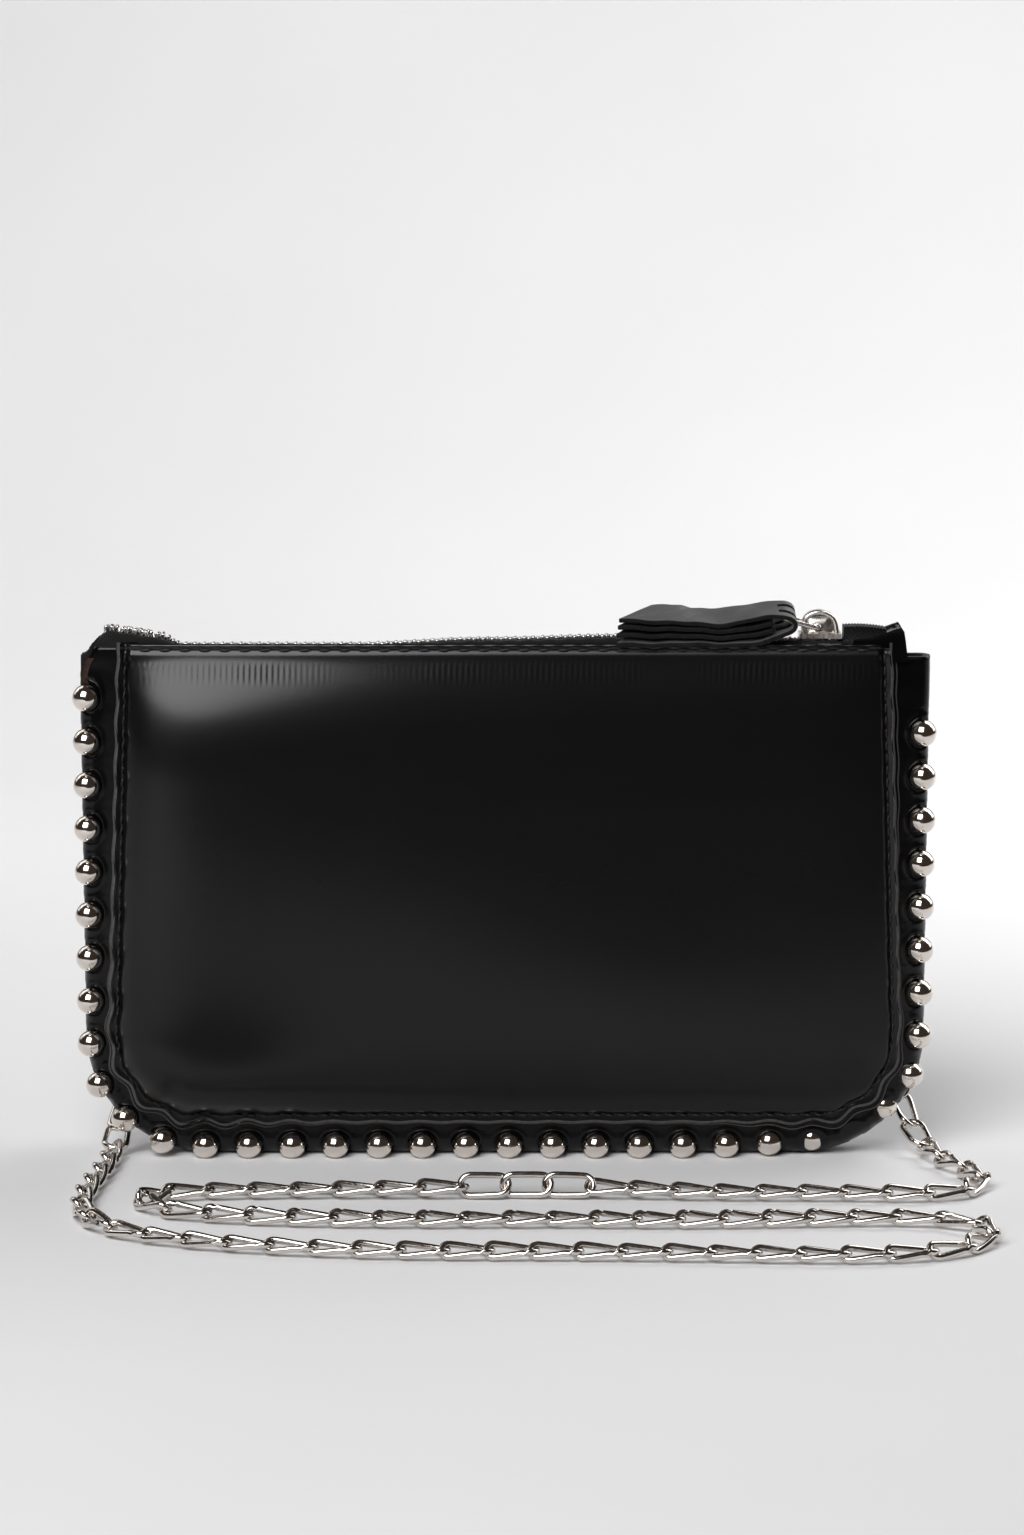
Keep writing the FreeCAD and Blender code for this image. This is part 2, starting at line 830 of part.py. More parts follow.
def make_pull_ring():
    """A wire link with a straight bar at each end, one in the bail and one in the tab."""
    bend, half, long = number("ring_bend"), number("ring_half"), number("ring_long")
    along, across = Rotation(Vector(0, 1, 0), 90), Rotation(Vector(1, 0, 0), -90)
    pieces = []
    corners = ((long - bend, half - bend), (bend, half - bend), (bend, bend - half))
    corners += ((long - bend, bend - half),)
    for index, (x, y) in enumerate(corners):
        arc = document.addObject("Part::Torus", f"pull_ring_corner_{index}")
        bind(arc, "Radius1", size["ring_bend"])
        bind(arc, "Radius2", size["ring_wire"])
        arc.Angle3 = 90
        arc.Placement = Placement(Vector(x, y, 0), Rotation(Vector(0, 0, 1), 90 * index))
        pieces.append(arc)
    side = size["ring_long"] - size["ring_bend"] * 2
    bar = (size["ring_half"] - size["ring_bend"]) * 2
    for name, start, turn, length in (
        ("side_near", Vector(bend, -half, 0), along, side),
        ("side_far", Vector(bend, half, 0), along, side),
        ("bail_bar", Vector(0, bend - half, 0), across, bar),
        ("tab_bar", Vector(long, bend - half, 0), across, bar),
    ):
        wire = {"Radius": size["ring_wire"], "Height": length}
        pieces.append(primitive("Cylinder", f"pull_ring_{name}", wire, Placement(start, turn)))
    ring = document.addObject("Part::MultiFuse", "pull_ring")
    ring.Label = "pull_ring"
    ring.Shapes = pieces
    ring.Placement = ring_placement()


def make_pull_tab():
    """A strap folded back on itself, with a narrow neck that passes through the ring."""
    body = new_body("pull_tab")
    slot, layer, long = size["tab_slot"], size["tab_layer"], size["tab_long"]
    outer = slot + layer
    fold = size["tab_fold"]
    nothing = Size(0.0)
    corners = [
        (-long, -outer, None),
        (fold, -outer, (fold, nothing, outer, 1)),
        (fold, outer, None),
        (-long, outer, None),
        (-long, slot, None),
        (fold, slot, (fold, nothing, slot, -1)),
        (fold, -slot, None),
        (-long, -slot, None),
    ]
    sketch = new_sketch(body, "XZ_Plane")
    draw_outline(sketch, corners)
    add_pad(body, sketch, size["tab_wide"], middle=True)
    for side in (-1, 1):
        neck = size["tab_neck"] * (side * 0.5)
        beyond = size["tab_wide"] * (side * 0.6)
        cut = new_sketch(body, "XY_Plane")
        start, end = -size["tab_neck_long"], fold + outer + 1.0
        draw_outline(cut, polygon([(start, neck), (end, neck), (end, beyond), (start, beyond)]))
        add_pocket(body, cut, outer * 3, middle=True)
    pivot = ring_placement().multVec(Vector(number("ring_long"), 0, 0))
    turn = Rotation(Vector(0, 1, 0), -number("tab_drop"))
    roll = Rotation(Vector(1, 0, 0), number("tab_roll"))
    body.Placement = Placement(pivot, turn.multiply(roll))
    print("pull ring turns about", ring_pivot(), "and the tab about", pivot)


# ---- D-rings and chain -----------------------------------------------------------------------


def make_d_ring(word, side):
    """A D-shaped ring: a straight bar in the leather loop and a round bow below it."""
    radius, wire = number("d_ring_radius"), size["d_ring_wire"]
    centre = Vector(side * number("d_ring_side"), number("d_ring_back"), number("d_ring_level"))
    bow = document.addObject("Part::Torus", f"d_ring_{word}_bow")
    bind(bow, "Radius1", size["d_ring_radius"])
    bind(bow, "Radius2", wire)
    bow.Angle3 = 180
    bow.Placement = Placement(centre, Rotation(Vector(1, 0, 0), -90))
    start = centre - Vector(radius, 0, 0)
    bar = primitive(
        "Cylinder",
        f"d_ring_{word}_bar",
        {"Radius": wire, "Height": size["d_ring_radius"] * 2},
        Placement(start, Rotation(Vector(0, 1, 0), 90)),
    )
    ends = [
        primitive(
            "Sphere",
            f"d_ring_{word}_end",
            {"Radius": wire},
            Placement(centre + Vector(offset, 0, 0), Rotation()),
        )
        for offset in (-radius, radius)
    ]
    ring = document.addObject("Part::MultiFuse", f"d_ring_{word}")
    ring.Label = f"d_ring_{word}"
    ring.Shapes = [bow, bar, *ends]


def make_d_ring_loop(word, side):
    """The leather loop that is sewn to the back panel and holds the D-ring's bar."""
    body = new_body(f"d_ring_loop_{word}")
    centre, level = size["d_ring_back"], size["d_ring_level"]
    layer, slot = size["loop_layer"], size["loop_slot"]
    outer = slot + layer
    seat, waist, top = size["loop_seat"], size["loop_waist"], size["loop_top"]
    strap = [
        (seat, top, None),
        (seat, waist, None),
        (centre - outer, level, (centre, level, outer, 1)),
        (centre + outer, level, None),
        (seat + layer * 2, waist, None),
        (seat + layer * 2, top, None),
    ]
    eye = [
        (centre - slot, level, (centre, level, slot, 1)),
        (centre + slot, level, None),
        (seat + layer, waist, None),
    ]
    left = size["d_ring_side"] * side - size["loop_wide"] * 0.5
    sketch = new_sketch(body, "YZ_Plane", Vector(0, 0, left.value))
    bind(sketch, ".AttachmentOffset.Base.z", left)
    draw_outline(sketch, strap)
    draw_outline(sketch, eye)
    add_pad(body, sketch, size["loop_wide"])


def make_jump_ring(word, side):
    """The split ring that joins the chain to the D-ring's bow."""
    resting = number("d_ring_wire") + number("jump_wire") + 0.1
    bow = number("d_ring_level") - number("d_ring_radius")
    centre = Vector(
        side * number("d_ring_side"),
        number("d_ring_back"),
        bow + resting - number("jump_radius"),
    )
    ring = primitive(
        "Torus",
        f"jump_ring_{word}",
        {"Radius1": size["jump_radius"], "Radius2": size["jump_wire"]},
        Placement(centre, Rotation(Vector(0, 1, 0), 90)),
    )
    ring.Label = f"jump_ring_{word}"


def make_chain():
    """Plain rods of about the metal of the links, along the chain's route."""
    radius = number("chain_radius")
    total = 0.0
    for name, points in (
        ("chain_left_fall", LEFT_FALL),
        ("chain_floor_run", FLOOR_RUN),
        ("chain_right_fall", RIGHT_FALL),
    ):
        path = rounded_path(points, name)
        tube = rod(path, radius)
        expected = math.pi * radius**2 * path.Length
        print(name, "length", round(path.Length, 1), "volume ratio", tube.Volume / expected)
        total += path.Length
        feature(name, [tube])
    print("chain length", round(total, 1))


# ---- The whole wallet ------------------------------------------------------------------------


def make_everything():
    make_panels()
    make_card_pocket()
    make_gusset()
    make_studs()
    make_threads()
    make_zipper()
    make_slider()
    make_bail()
    make_pull_ring()
    make_pull_tab()
    for word, side in (("left", -1), ("right", 1)):
        make_d_ring(word, side)
        make_d_ring_loop(word, side)
        make_jump_ring(word, side)
    make_chain()
    document.recompute()


def is_sub_part(item):
    """Bodies, and Part objects that no other object is made of."""
    if item.isDerivedFrom("PartDesign::Body"):
        return True
    inside_body = item.getParentGeoFeatureGroup() is not None
    used = any(user.isDerivedFrom("Part::MultiFuse") for user in item.InList)
    return item.isDerivedFrom("Part::Feature") and not inside_body and not used


def export_everything():
    for item in document.Objects:
        if {"Invalid", "Error"} & set(item.State):
            raise RuntimeError(f"{item.Name} is {item.State}")
    os.makedirs("parts", exist_ok=True)
    for item in filter(is_sub_part, document.Objects):
        shape = item.Shape
        if shape.isNull() or not shape.isValid() or shape.Volume <= 0:
            raise RuntimeError(f"{item.Label} has no valid solid")
        shape.exportStep(f"parts/{item.Label}.step")
        print(item.Label, len(shape.Solids), "solids,", round(shape.Volume, 1), "mm3")


make_everything()
export_everything()
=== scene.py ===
"""Looks of the studded chain wallet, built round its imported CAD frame. Lengths are in mm unless
a comment says otherwise, and turn to metres when a mesh is made."""

import math

import bmesh
import bpy
import numpy as np
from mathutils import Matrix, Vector


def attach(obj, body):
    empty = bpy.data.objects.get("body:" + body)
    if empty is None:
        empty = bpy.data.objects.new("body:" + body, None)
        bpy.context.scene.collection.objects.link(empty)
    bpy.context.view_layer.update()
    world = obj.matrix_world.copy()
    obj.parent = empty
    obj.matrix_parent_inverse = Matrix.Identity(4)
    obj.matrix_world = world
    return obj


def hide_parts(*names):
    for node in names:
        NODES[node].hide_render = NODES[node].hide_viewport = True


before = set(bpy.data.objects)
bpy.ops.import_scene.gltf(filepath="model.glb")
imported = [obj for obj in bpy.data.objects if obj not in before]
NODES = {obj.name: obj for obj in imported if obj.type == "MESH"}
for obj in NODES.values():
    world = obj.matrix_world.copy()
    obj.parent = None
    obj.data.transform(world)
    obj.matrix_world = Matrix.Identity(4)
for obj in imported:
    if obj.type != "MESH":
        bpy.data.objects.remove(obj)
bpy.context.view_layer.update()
SCENE = bpy.context.scene
MM = 0.001  # in metres

# ---- The CAD's sizes that the new pieces keep to ----

PANEL_HIGH = 128.0
PANEL_BASE_Z = 10.0
PANEL_HALF_BASE, PANEL_HALF_TOP = 105.3, 100.8
PANEL_SLOPE = (PANEL_HALF_TOP - PANEL_HALF_BASE) / PANEL_HIGH
PANEL_CORNER = 23.0
PANEL_BEND = PANEL_CORNER * math.pi / 2
PANEL_STRAIGHT = PANEL_HALF_BASE + PANEL_SLOPE * PANEL_CORNER - PANEL_CORNER
EDGE_LONG = 2 * (PANEL_HIGH - PANEL_CORNER + PANEL_BEND + PANEL_STRAIGHT)
PANEL_Y_BASE, PANEL_Y_TOP = 9.0, 5.0
LEAN = math.atan((PANEL_Y_BASE - PANEL_Y_TOP) / PANEL_HIGH)
CREST_HALF, CREST_CORNER, BAND_TOP = 111.5, 33.0, 134.0
CREST_SIDE, CREST_BEND = BAND_TOP - CREST_CORNER, CREST_CORNER * math.pi / 2
CREST_STRAIGHT = CREST_HALF - CREST_CORNER
CREST_LONG = 2 * (CREST_SIDE + CREST_BEND + CREST_STRAIGHT)
BAND_HALF, CREST_FLAT = (6.9, 3.74), (2.4, 0.7)  # at the base and at the top
PANEL_THICK, BAND_THICK = 1.0, 1.1
STUD_RISE, STUD_COUNT, STUD_PITCH = 1.0, 38, 11.8
STUD_SEEN, STUD_LIFT = 3.15 + 0.40, 0.15
STUD_SIDE, STUD_LOW, STUD_CORNER, STUD_START, STUD_END = 109.6, 3.25, 26.5, 123.3, 114.0
FACES = (("front", -1), ("back", 1))


# ---- Mesh helpers ----


def smooth_step(value):
    value = np.clip(value, 0.0, 1.0)
    return value * value * (3 - 2 * value)


def bell(distance, width):
    return np.exp(-0.5 * (distance / width) ** 2)


def make_mesh(name, points, faces, materials, face_slots=None):
    """A smooth-shaded mesh from points in mm."""
    mesh = bpy.data.meshes.new(name)
    mesh.from_pydata((np.asarray(points, float) * MM).tolist(), [], faces)
    for material in materials:
        mesh.materials.append(material)
    if face_slots is not None:
        mesh.polygons.foreach_set("material_index", face_slots.tolist())
    mesh.polygons.foreach_set("use_smooth", [True] * len(mesh.polygons))
    mesh.update()
    piece = bpy.data.objects.new(name, mesh)
    SCENE.collection.objects.link(piece)
    return piece


def grid_faces(rows, columns, closed_rows=False, closed_columns=False, start=0, flip=False):
    """Quads of a grid of points stored row by row."""
    faces = []
    for row in range(rows if closed_rows else rows - 1):
        low, high = start + row * columns, start + (row + 1) % rows * columns
        for column in range(columns if closed_columns else columns - 1):
            ahead = (column + 1) % columns
            quad = [low + column, low + ahead, high + ahead, high + column]
            faces.append(quad[::-1] if flip else quad)
    return faces


def end_caps(points, sides):
    """Faces that close both ends of a tube whose rings are stored one after another."""
    return [list(range(sides)), [points - sides + index for index in range(sides)][::-1]]


def frames_along(path, closed=False):
    """Tangents and two unit normals that turn as little as they can along a path."""
    path = np.asarray(path, float)
    if closed:
        tangents = np.roll(path, -1, 0) - np.roll(path, 1, 0)
    else:
        tangents = np.gradient(path, axis=0)
    tangents /= np.linalg.norm(tangents, axis=1)[:, None]
    side = np.cross(tangents[0], [0.0, 0.0, 1.0])
    if np.linalg.norm(side) < 0.1:
        side = np.cross(tangents[0], [0.0, 1.0, 0.0])
    normals = []
    for tangent in tangents:
        side = side - tangent * (side @ tangent)
        side /= np.linalg.norm(side)
        normals.append(side)
    normals = np.array(normals)
    return tangents, normals, np.cross(tangents, normals)


def tube(path, radius, sides, closed=False):
    """Points and faces of a round wire; an open one is capped with small domes."""
    path = np.asarray(path, float)
    radii = np.full(len(path), 1.0) * radius
    if not closed:
        tangents, _, _ = frames_along(path)
        dome = np.array([0.6, 1.1, 1.5])
        first = path[0] - np.outer(np.sin(dome[::-1]), tangents[0]) * radii[0]
        last = path[-1] + np.outer(np.sin(dome), tangents[-1]) * radii[-1]
        path = np.vstack([first, path, last])
        radii = np.concatenate([radii[0] * np.cos(dome[::-1]), radii, radii[-1] * np.cos(dome)])
    _, first, second = frames_along(path, closed)
    angles = np.linspace(0, 2 * math.pi, sides, endpoint=False)[None, :, None]
    ring = np.cos(angles) * first[:, None] + np.sin(angles) * second[:, None]
    points = (path[:, None] + ring * radii[:, None, None]).reshape(-1, 3)
    faces = grid_faces(len(path), sides, closed_rows=closed, closed_columns=True)
    if not closed:
        faces += end_caps(len(points), sides)
    return points, faces


def join(shapes):
    """One set of points and faces from several."""
    all_points, all_faces, start = [], [], 0
    for points, faces in shapes:
        all_points.append(points)
        all_faces += [[start + v for v in face] for face in faces]
        start += len(points)
    return np.vstack(all_points), all_faces


def repeat(points, faces, placements):
    """Copies of one small shape; each placement is (3x3 axes as columns, origin)."""
    points = np.asarray(points, float)
    return join([(points @ axes.T + origin, faces) for axes, origin in placements])


def even_steps(line, count_for):
    """A line's points at even distances; count_for gives their number from its length."""
    steps = np.linalg.norm(np.diff(line, axis=0), axis=1)
    along = np.concatenate([[0.0], np.cumsum(steps)])
    places = np.linspace(0, along[-1], count_for(along[-1]))
    return np.column_stack([np.interp(places, along, axis) for axis in line.T])


def axes_from(forward, up):
    """Columns x along forward, z as near to up as it can be."""
    x = np.array(forward, float) / np.linalg.norm(forward)
    y = np.cross(up, x)
    y /= np.linalg.norm(y)
    return np.column_stack([x, y, np.cross(x, y)])


def rounded_box(long, wide, high, round_by):
    """A box with round edges, as points and faces, centred on the origin."""
    mesh = bmesh.new()
    bmesh.ops.create_cube(mesh, size=1.0)
    bmesh.ops.scale(mesh, vec=(long, wide, high), verts=mesh.verts)
    bmesh.ops.bevel(
        mesh, geom=mesh.edges[:], offset=round_by, segments=3, profile=0.5, affect="EDGES"
    )
    mesh.verts.index_update()
    points = np.array([v.co for v in mesh.verts], float)
    faces = [[v.index for v in face.verts] for face in mesh.faces]
    mesh.free()
    return points, faces


def thicken(piece, thickness, rim_slot=0, offset=-1):
    """Gives a leather sheet its thickness, inwards from the surface unless offset is 0."""
    modifier = piece.modifiers.new("thickness", "SOLIDIFY")
    modifier.thickness = thickness * MM
    modifier.offset = offset
    modifier.use_even_offset = False
    modifier.material_offset_rim = rim_slot


def round_edges(piece, width, segments):
    bevel = piece.modifiers.new("round", "BEVEL")
    bevel.width, bevel.segments, bevel.limit_method = width * MM, segments, "ANGLE"


def finish_piece(piece, body, slot, *replaced):
    """Says which body a piece rides on and hides the CAD nodes it stands for; the slot argument is
    not used.
    """
    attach(piece, body)
    if replaced:
        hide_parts(*replaced)


# ---- Materials ----


WAVE_PERIOD = 0.314  # a wave texture's period in metres at scale 1


class Nodes:
    """A material's node tree with short names for what is used here."""

    def __init__(self, name):
        self.material = bpy.data.materials.new(name)
        self.material.use_nodes = True
        self.tree = self.material.node_tree
        self.shader = self.tree.nodes["Principled BSDF"]
        self.place = self.add("TexCoord").outputs["Object"]

    def add(self, kind, **values):
        node = self.tree.nodes.new(f"ShaderNode{kind}")
        for name, value in values.items():
            setattr(node, name, value)
        return node

    def link(self, source, target):
        self.tree.links.new(source, target)

    def set(self, **values):
        for name, value in values.items():
            self.shader.inputs[name.replace("_", " ")].default_value = value

    def times(self, first, second):
        node = self.add("Math", operation="MULTIPLY")
        self.link(first, node.inputs[0])
        self.link(second, node.inputs[1])
        return node.outputs[0]

    def stretched(self, scale):
        """The place, scaled along each axis."""
        return self.texture("Mapping", Scale=scale).outputs["Vector"]

    def texture(self, kind, place=None, **values):
        """A texture node on the object's own coordinates, with its inputs set."""
        node = self.add(kind)
        for name, value in values.items():
            node.inputs[name].default_value = value
        self.link(place or self.place, node.inputs["Vector"])
        return node

    def noise(self, scale, detail=3.0, rough=0.5, place=None):
        node = self.texture("TexNoise", place, Scale=scale, Detail=detail, Roughness=rough)
        return node.outputs["Fac"]

    def cells(self, scale):
        return self.texture("TexVoronoi", Scale=scale).outputs["Distance"]

    def wave(self, scale, direction="X", distortion=0.0):
        node = self.texture("TexWave", Scale=scale, Distortion=distortion)
        node.bands_direction = direction
        return node.outputs["Fac"]

    def span(self, value, low, high, to_low=0.0, to_high=1.0):
        """A value that goes smoothly between two numbers as another goes from low to high."""
        node = self.add("MapRange", interpolation_type="SMOOTHSTEP")
        self.link(value, node.inputs["Value"])
        ends = {"From Min": low, "From Max": high, "To Min": to_low, "To Max": to_high}
        for name, number in ends.items():
            node.inputs[name].default_value = number
        return node.outputs["Result"]

    def colour(self, value, low, dark, high, light):
        """The base colour, dark below one value and light above another."""
        node = self.add("ValToRGB")
        self.link(value, node.inputs["Fac"])
        for element, place, tone in zip(node.color_ramp.elements, (low, high), (dark, light)):
            element.position, element.color = place, (*tone, 1.0)
        self.link(node.outputs["Color"], self.shader.inputs["Base Color"])

    def roughness(self, value, *ends):
        self.link(self.span(value, *ends), self.shader.inputs["Roughness"])

    def bump(self, *layers):
        """Stacks (height socket, depth in mm) layers of relief."""
        normal = None
        for height, depth in layers:
            node = self.add("Bump")
            node.inputs["Strength"].default_value = 1.0
            node.inputs["Distance"].default_value = depth * MM
            self.link(height, node.inputs["Height"])
            if normal is not None:
                self.link(normal, node.inputs["Normal"])
            normal = node.outputs["Normal"]
        self.link(normal, self.shader.inputs["Normal"])


def gloss_leather():
    """The gusset's black patent leather: faint grain, rubbed streaks and fine creases."""
    nodes = Nodes("gloss_leather")
    grain = nodes.cells(1400.0)
    cloud = nodes.noise(38.0, 4.0)
    streaks = nodes.noise(26.0, 5.0, 0.6, nodes.stretched((0.5, 1.0, 7.0)))
    nodes.colour(cloud, 0.3, (0.0012, 0.0012, 0.0014), 0.75, (0.0026, 0.0026, 0.0030))
    nodes.roughness(streaks, 0.3, 0.75, 0.19, 0.28)
    nodes.set(Specular_IOR_Level=0.26)
    nodes.bump((grain, 0.005), (nodes.noise(420.0, 3.0), 0.012), (cloud, 0.12))
    return nodes.material


def panel_leather():
    """The panels' leather, with the fine upright creases that the top seam gathers."""
    nodes = Nodes("panel_leather")
    grain = nodes.cells(1400.0)
    cloud = nodes.noise(30.0, 4.0)
    streaks = nodes.noise(22.0, 5.0, 0.6, nodes.stretched((0.35, 1.0, 6.0)))
    nodes.colour(cloud, 0.3, (0.0010, 0.0010, 0.0011), 0.75, (0.0020, 0.0020, 0.0021))
    nodes.roughness(streaks, 0.3, 0.75, 0.42, 0.50)
    nodes.set(Specular_IOR_Level=0.09, Coat_Roughness=0.22)
    split = nodes.add("SeparateXYZ")
    nodes.link(nodes.place, split.inputs[0])
    # Coat weight grows with height: painted shade that dims the panel's reflection low down.
    painted_shade_low = nodes.span(split.outputs["Z"], 0.02, 0.11, 0.52, 0.68)
    nodes.link(painted_shade_low, nodes.shader.inputs["Coat Weight"])
    low = nodes.span(split.outputs["Z"], 0.1262, 0.1300)
    high = nodes.span(split.outputs["Z"], 0.1315, 0.1335, 1.0, 0.0)
    band = nodes.times(low, high)
    patchy = nodes.span(nodes.noise(28.0, 2.0, 0.5, nodes.stretched((1.0, 0.0, 0.2))), 0.35, 0.6)
    uneven = nodes.noise(90.0, 2.0, 0.5, nodes.stretched((1.0, 0.0, 0.15)))
    ribs = nodes.wave(209.0)
    ribs = nodes.times(nodes.times(ribs, band), patchy)
    ribs = nodes.times(ribs, nodes.span(uneven, 0.25, 0.7, 0.4, 1.0))
    nodes.bump((grain, 0.003), (nodes.noise(420.0, 3.0), 0.004), (ribs, 0.055), (cloud, 0.05))
    normal = nodes.shader.inputs["Normal"].links[0].from_socket
    nodes.link(normal, nodes.shader.inputs["Coat Normal"])
    return nodes.material


def cut_edge(name, dark, light, level=0.5):
    """The raw edge of the leather: fibrous, dyed and dull."""
    nodes = Nodes(name)
    fibre = nodes.noise(900.0, 5.0, 0.7)
    nodes.colour(fibre, 0.3, dark, 0.7, light)
    nodes.set(Roughness=0.62, Specular_IOR_Level=level)
    nodes.bump((fibre, 0.08), (nodes.noise(240.0), 0.08))
    return nodes.material


def strap_leather():
    """The dull pebbled leather of the zipper's pull."""
    nodes = Nodes("strap_leather")
    pebbles = nodes.cells(900.0)
    cloud = nodes.noise(60.0, 4.0)
    nodes.colour(cloud, 0.3, (0.070, 0.070, 0.071), 0.75, (0.092, 0.091, 0.092))
    nodes.roughness(nodes.noise(160.0, 3.0), 0.3, 0.7, 0.38, 0.48)
    nodes.set(Specular_IOR_Level=0.55, Sheen_Weight=0.08, Sheen_Roughness=0.4)
    nodes.bump((pebbles, 0.035), (nodes.noise(500.0, 4.0), 0.03), (cloud, 0.2))
    return nodes.material


def woven_tape(name, pitch, dark, light):
    """Herringbone tape."""
    nodes = Nodes(name)
    scale = WAVE_PERIOD / (pitch * MM)
    warp, weft = nodes.wave(scale), nodes.wave(scale, "DIAGONAL")
    weave = nodes.times(warp, weft)
    fuzz = nodes.noise(1500.0, 4.0, 0.7)
    nodes.colour(weave, 0.1, dark, 0.9, light)
    nodes.set(Roughness=0.86, Specular_IOR_Level=0.3, Sheen_Weight=0.12, Sheen_Roughness=0.5)
    nodes.bump((weave, 0.12), (fuzz, 0.08))
    return nodes.material


def waxed_thread():
    nodes = Nodes("waxed_thread")
    twist = nodes.wave(260.0, "DIAGONAL", 1.5)
    nodes.colour(twist, 0.1, (0.003, 0.003, 0.003), 0.9, (0.010, 0.010, 0.011))
    nodes.set(Roughness=0.5, Specular_IOR_Level=0.4)
    nodes.bump((twist, 0.06), (nodes.noise(1800.0), 0.04))
    return nodes.material


def plated_metal(name, colour, rough_low, rough_high, depth=0.01):
    """Nickel plate: small differences in polish, tiny dents and hairline scratches."""
    nodes = Nodes(name)
    cloud = nodes.noise(150.0, 4.0)
    scratches = nodes.noise(900.0, 3.0, 0.6, nodes.stretched((1.0, 1.0, 0.12)))
    darker = tuple(channel * 0.88 for channel in colour)
    nodes.colour(cloud, 0.3, darker, 0.7, colour)
    nodes.roughness(scratches, 0.3, 0.75, rough_low, rough_high)
    nodes.set(Metallic=1.0)
    nodes.bump((scratches, depth * 0.3), (cloud, depth * 3))
    return nodes.material


def board_material():
    nodes = Nodes("stiffener_board")
    fibre = nodes.noise(300.0, 6.0, 0.7)
    nodes.colour(fibre, 0.3, (0.22, 0.16, 0.11), 0.7, (0.36, 0.28, 0.21))
    nodes.set(Roughness=0.9)
    nodes.bump((fibre, 0.1))
    return nodes.material


LEATHER = gloss_leather()
PANEL_LEATHER = panel_leather()
EDGE = cut_edge("cut_edge", (0.030, 0.028, 0.028), (0.075, 0.070, 0.070))
BROWN_EDGE = cut_edge("bare_edge", (0.012, 0.006, 0.004), (0.055, 0.026, 0.018), 0.2)
STRAP = strap_leather()
# Colours the strap's real cut edges, and the inner layers' faces as painted shade.
STRAP_EDGE_AND_SHADE = cut_edge("strap_edge_and_shade", (0.003, 0.003, 0.003), (0.011, 0.011, 0.011), 0.14)
THREAD = waxed_thread()
TAPE = woven_tape("zipper_tape", 0.55, (0.002, 0.002, 0.002), (0.011, 0.011, 0.012))
LINING = woven_tape("lining_fabric", 0.35, (0.010, 0.010, 0.012), (0.035, 0.035, 0.042))
STUD_METAL = plated_metal("stud_nickel", (0.83, 0.77, 0.71), 0.07, 0.15, 0.006)
CHAIN_METAL = plated_metal("chain_nickel", (0.74, 0.70, 0.66), 0.10, 0.20, 0.012)
ZIP_METAL = plated_metal("zipper_nickel", (0.74, 0.73, 0.72), 0.14, 0.26, 0.012)
SLIDER_METAL = plated_metal("slider_nickel", (0.82, 0.78, 0.74), 0.24, 0.36, 0.010)
WASHER_METAL = plated_metal("washer_steel", (0.55, 0.55, 0.55), 0.3, 0.5, 0.02)


# ---- Camera ----


def make_camera():
    camera = bpy.data.objects.new("camera", bpy.data.cameras.new("camera"))
    camera.data.lens = 98.5
    camera.data.sensor_width = 36.0
    camera.data.clip_start = 0.01
    camera.location = (0.0019, -1.089, 0.303)
    camera.rotation_euler = (math.radians(90 - 10.36), 0, 0)
    SCENE.collection.objects.link(camera)
    SCENE.camera = camera


make_camera()


# ---- Chain ----

CHAIN_ROUTE = [  # in metres
    (-0.092, 0.0096, 0.1072), (-0.0923, 0.0104, 0.086), (-0.094, 0.013, 0.059),
    (-0.0978, 0.0158, 0.033), (-0.1014, 0.0154, 0.016), (-0.1028, 0.0105, 0.0095),
    (-0.1038, 0.0015, 0.005), (-0.1037, -0.009, 0.0024), (-0.1049, -0.026, 0.0024),
    (-0.1076, -0.046, 0.0024), (-0.1082, -0.064, 0.0024), (-0.102, -0.079, 0.0024),
    (-0.086, -0.089, 0.0024), (-0.06, -0.0965, 0.0024), (-0.025, -0.1008, 0.0024),
    (0.012, -0.101, 0.0024), (0.048, -0.1022, 0.0024), (0.082, -0.1044, 0.0024),
    (0.104, -0.1026, 0.0024), (0.1175, -0.0955, 0.0024), (0.1226, -0.0845, 0.0024),
    (0.117, -0.0745, 0.0024), (0.102, -0.0716, 0.0024), (0.078, -0.0726, 0.0024),
    (0.046, -0.0744, 0.0024), (0.012, -0.0732, 0.0024), (-0.022, -0.0738, 0.0024),
    (-0.052, -0.0726, 0.0024), (-0.073, -0.0692, 0.0024), (-0.086, -0.0652, 0.0024),
    (-0.0922, -0.0609, 0.0024), (-0.0928, -0.0534, 0.0024), (-0.0868, -0.0488, 0.0024),
    (-0.073, -0.0478, 0.0024), (-0.047, -0.0468, 0.0024), (-0.014, -0.0476, 0.0032),
    (0.02, -0.0466, 0.0032), (0.053, -0.0494, 0.0024), (0.085, -0.0496, 0.0024),
    (0.107, -0.051, 0.0024), (0.12, -0.0482, 0.0024), (0.1245, -0.0395, 0.0024),
    (0.1216, -0.03, 0.0024), (0.115, -0.0195, 0.0024), (0.1112, -0.007, 0.0032),
    (0.1086, 0.0035, 0.0065), (0.1064, 0.0115, 0.0115), (0.1044, 0.0158, 0.021),
    (0.0998, 0.016, 0.037), (0.0946, 0.0132, 0.06), (0.0923, 0.0104, 0.086),
    (0.092, 0.0096, 0.1072),
]
LINK_PITCH, LINK_WIRE = 10.85, 1.7
LINK_WIDE, OPEN_LINK_WIDE, CORNER_LINK_WIDE = 5.9, 7.0, 7.6
LINK_CLEAR = 0.15
LINK_STANDING, LINK_LYING = math.radians(30), math.radians(-12)


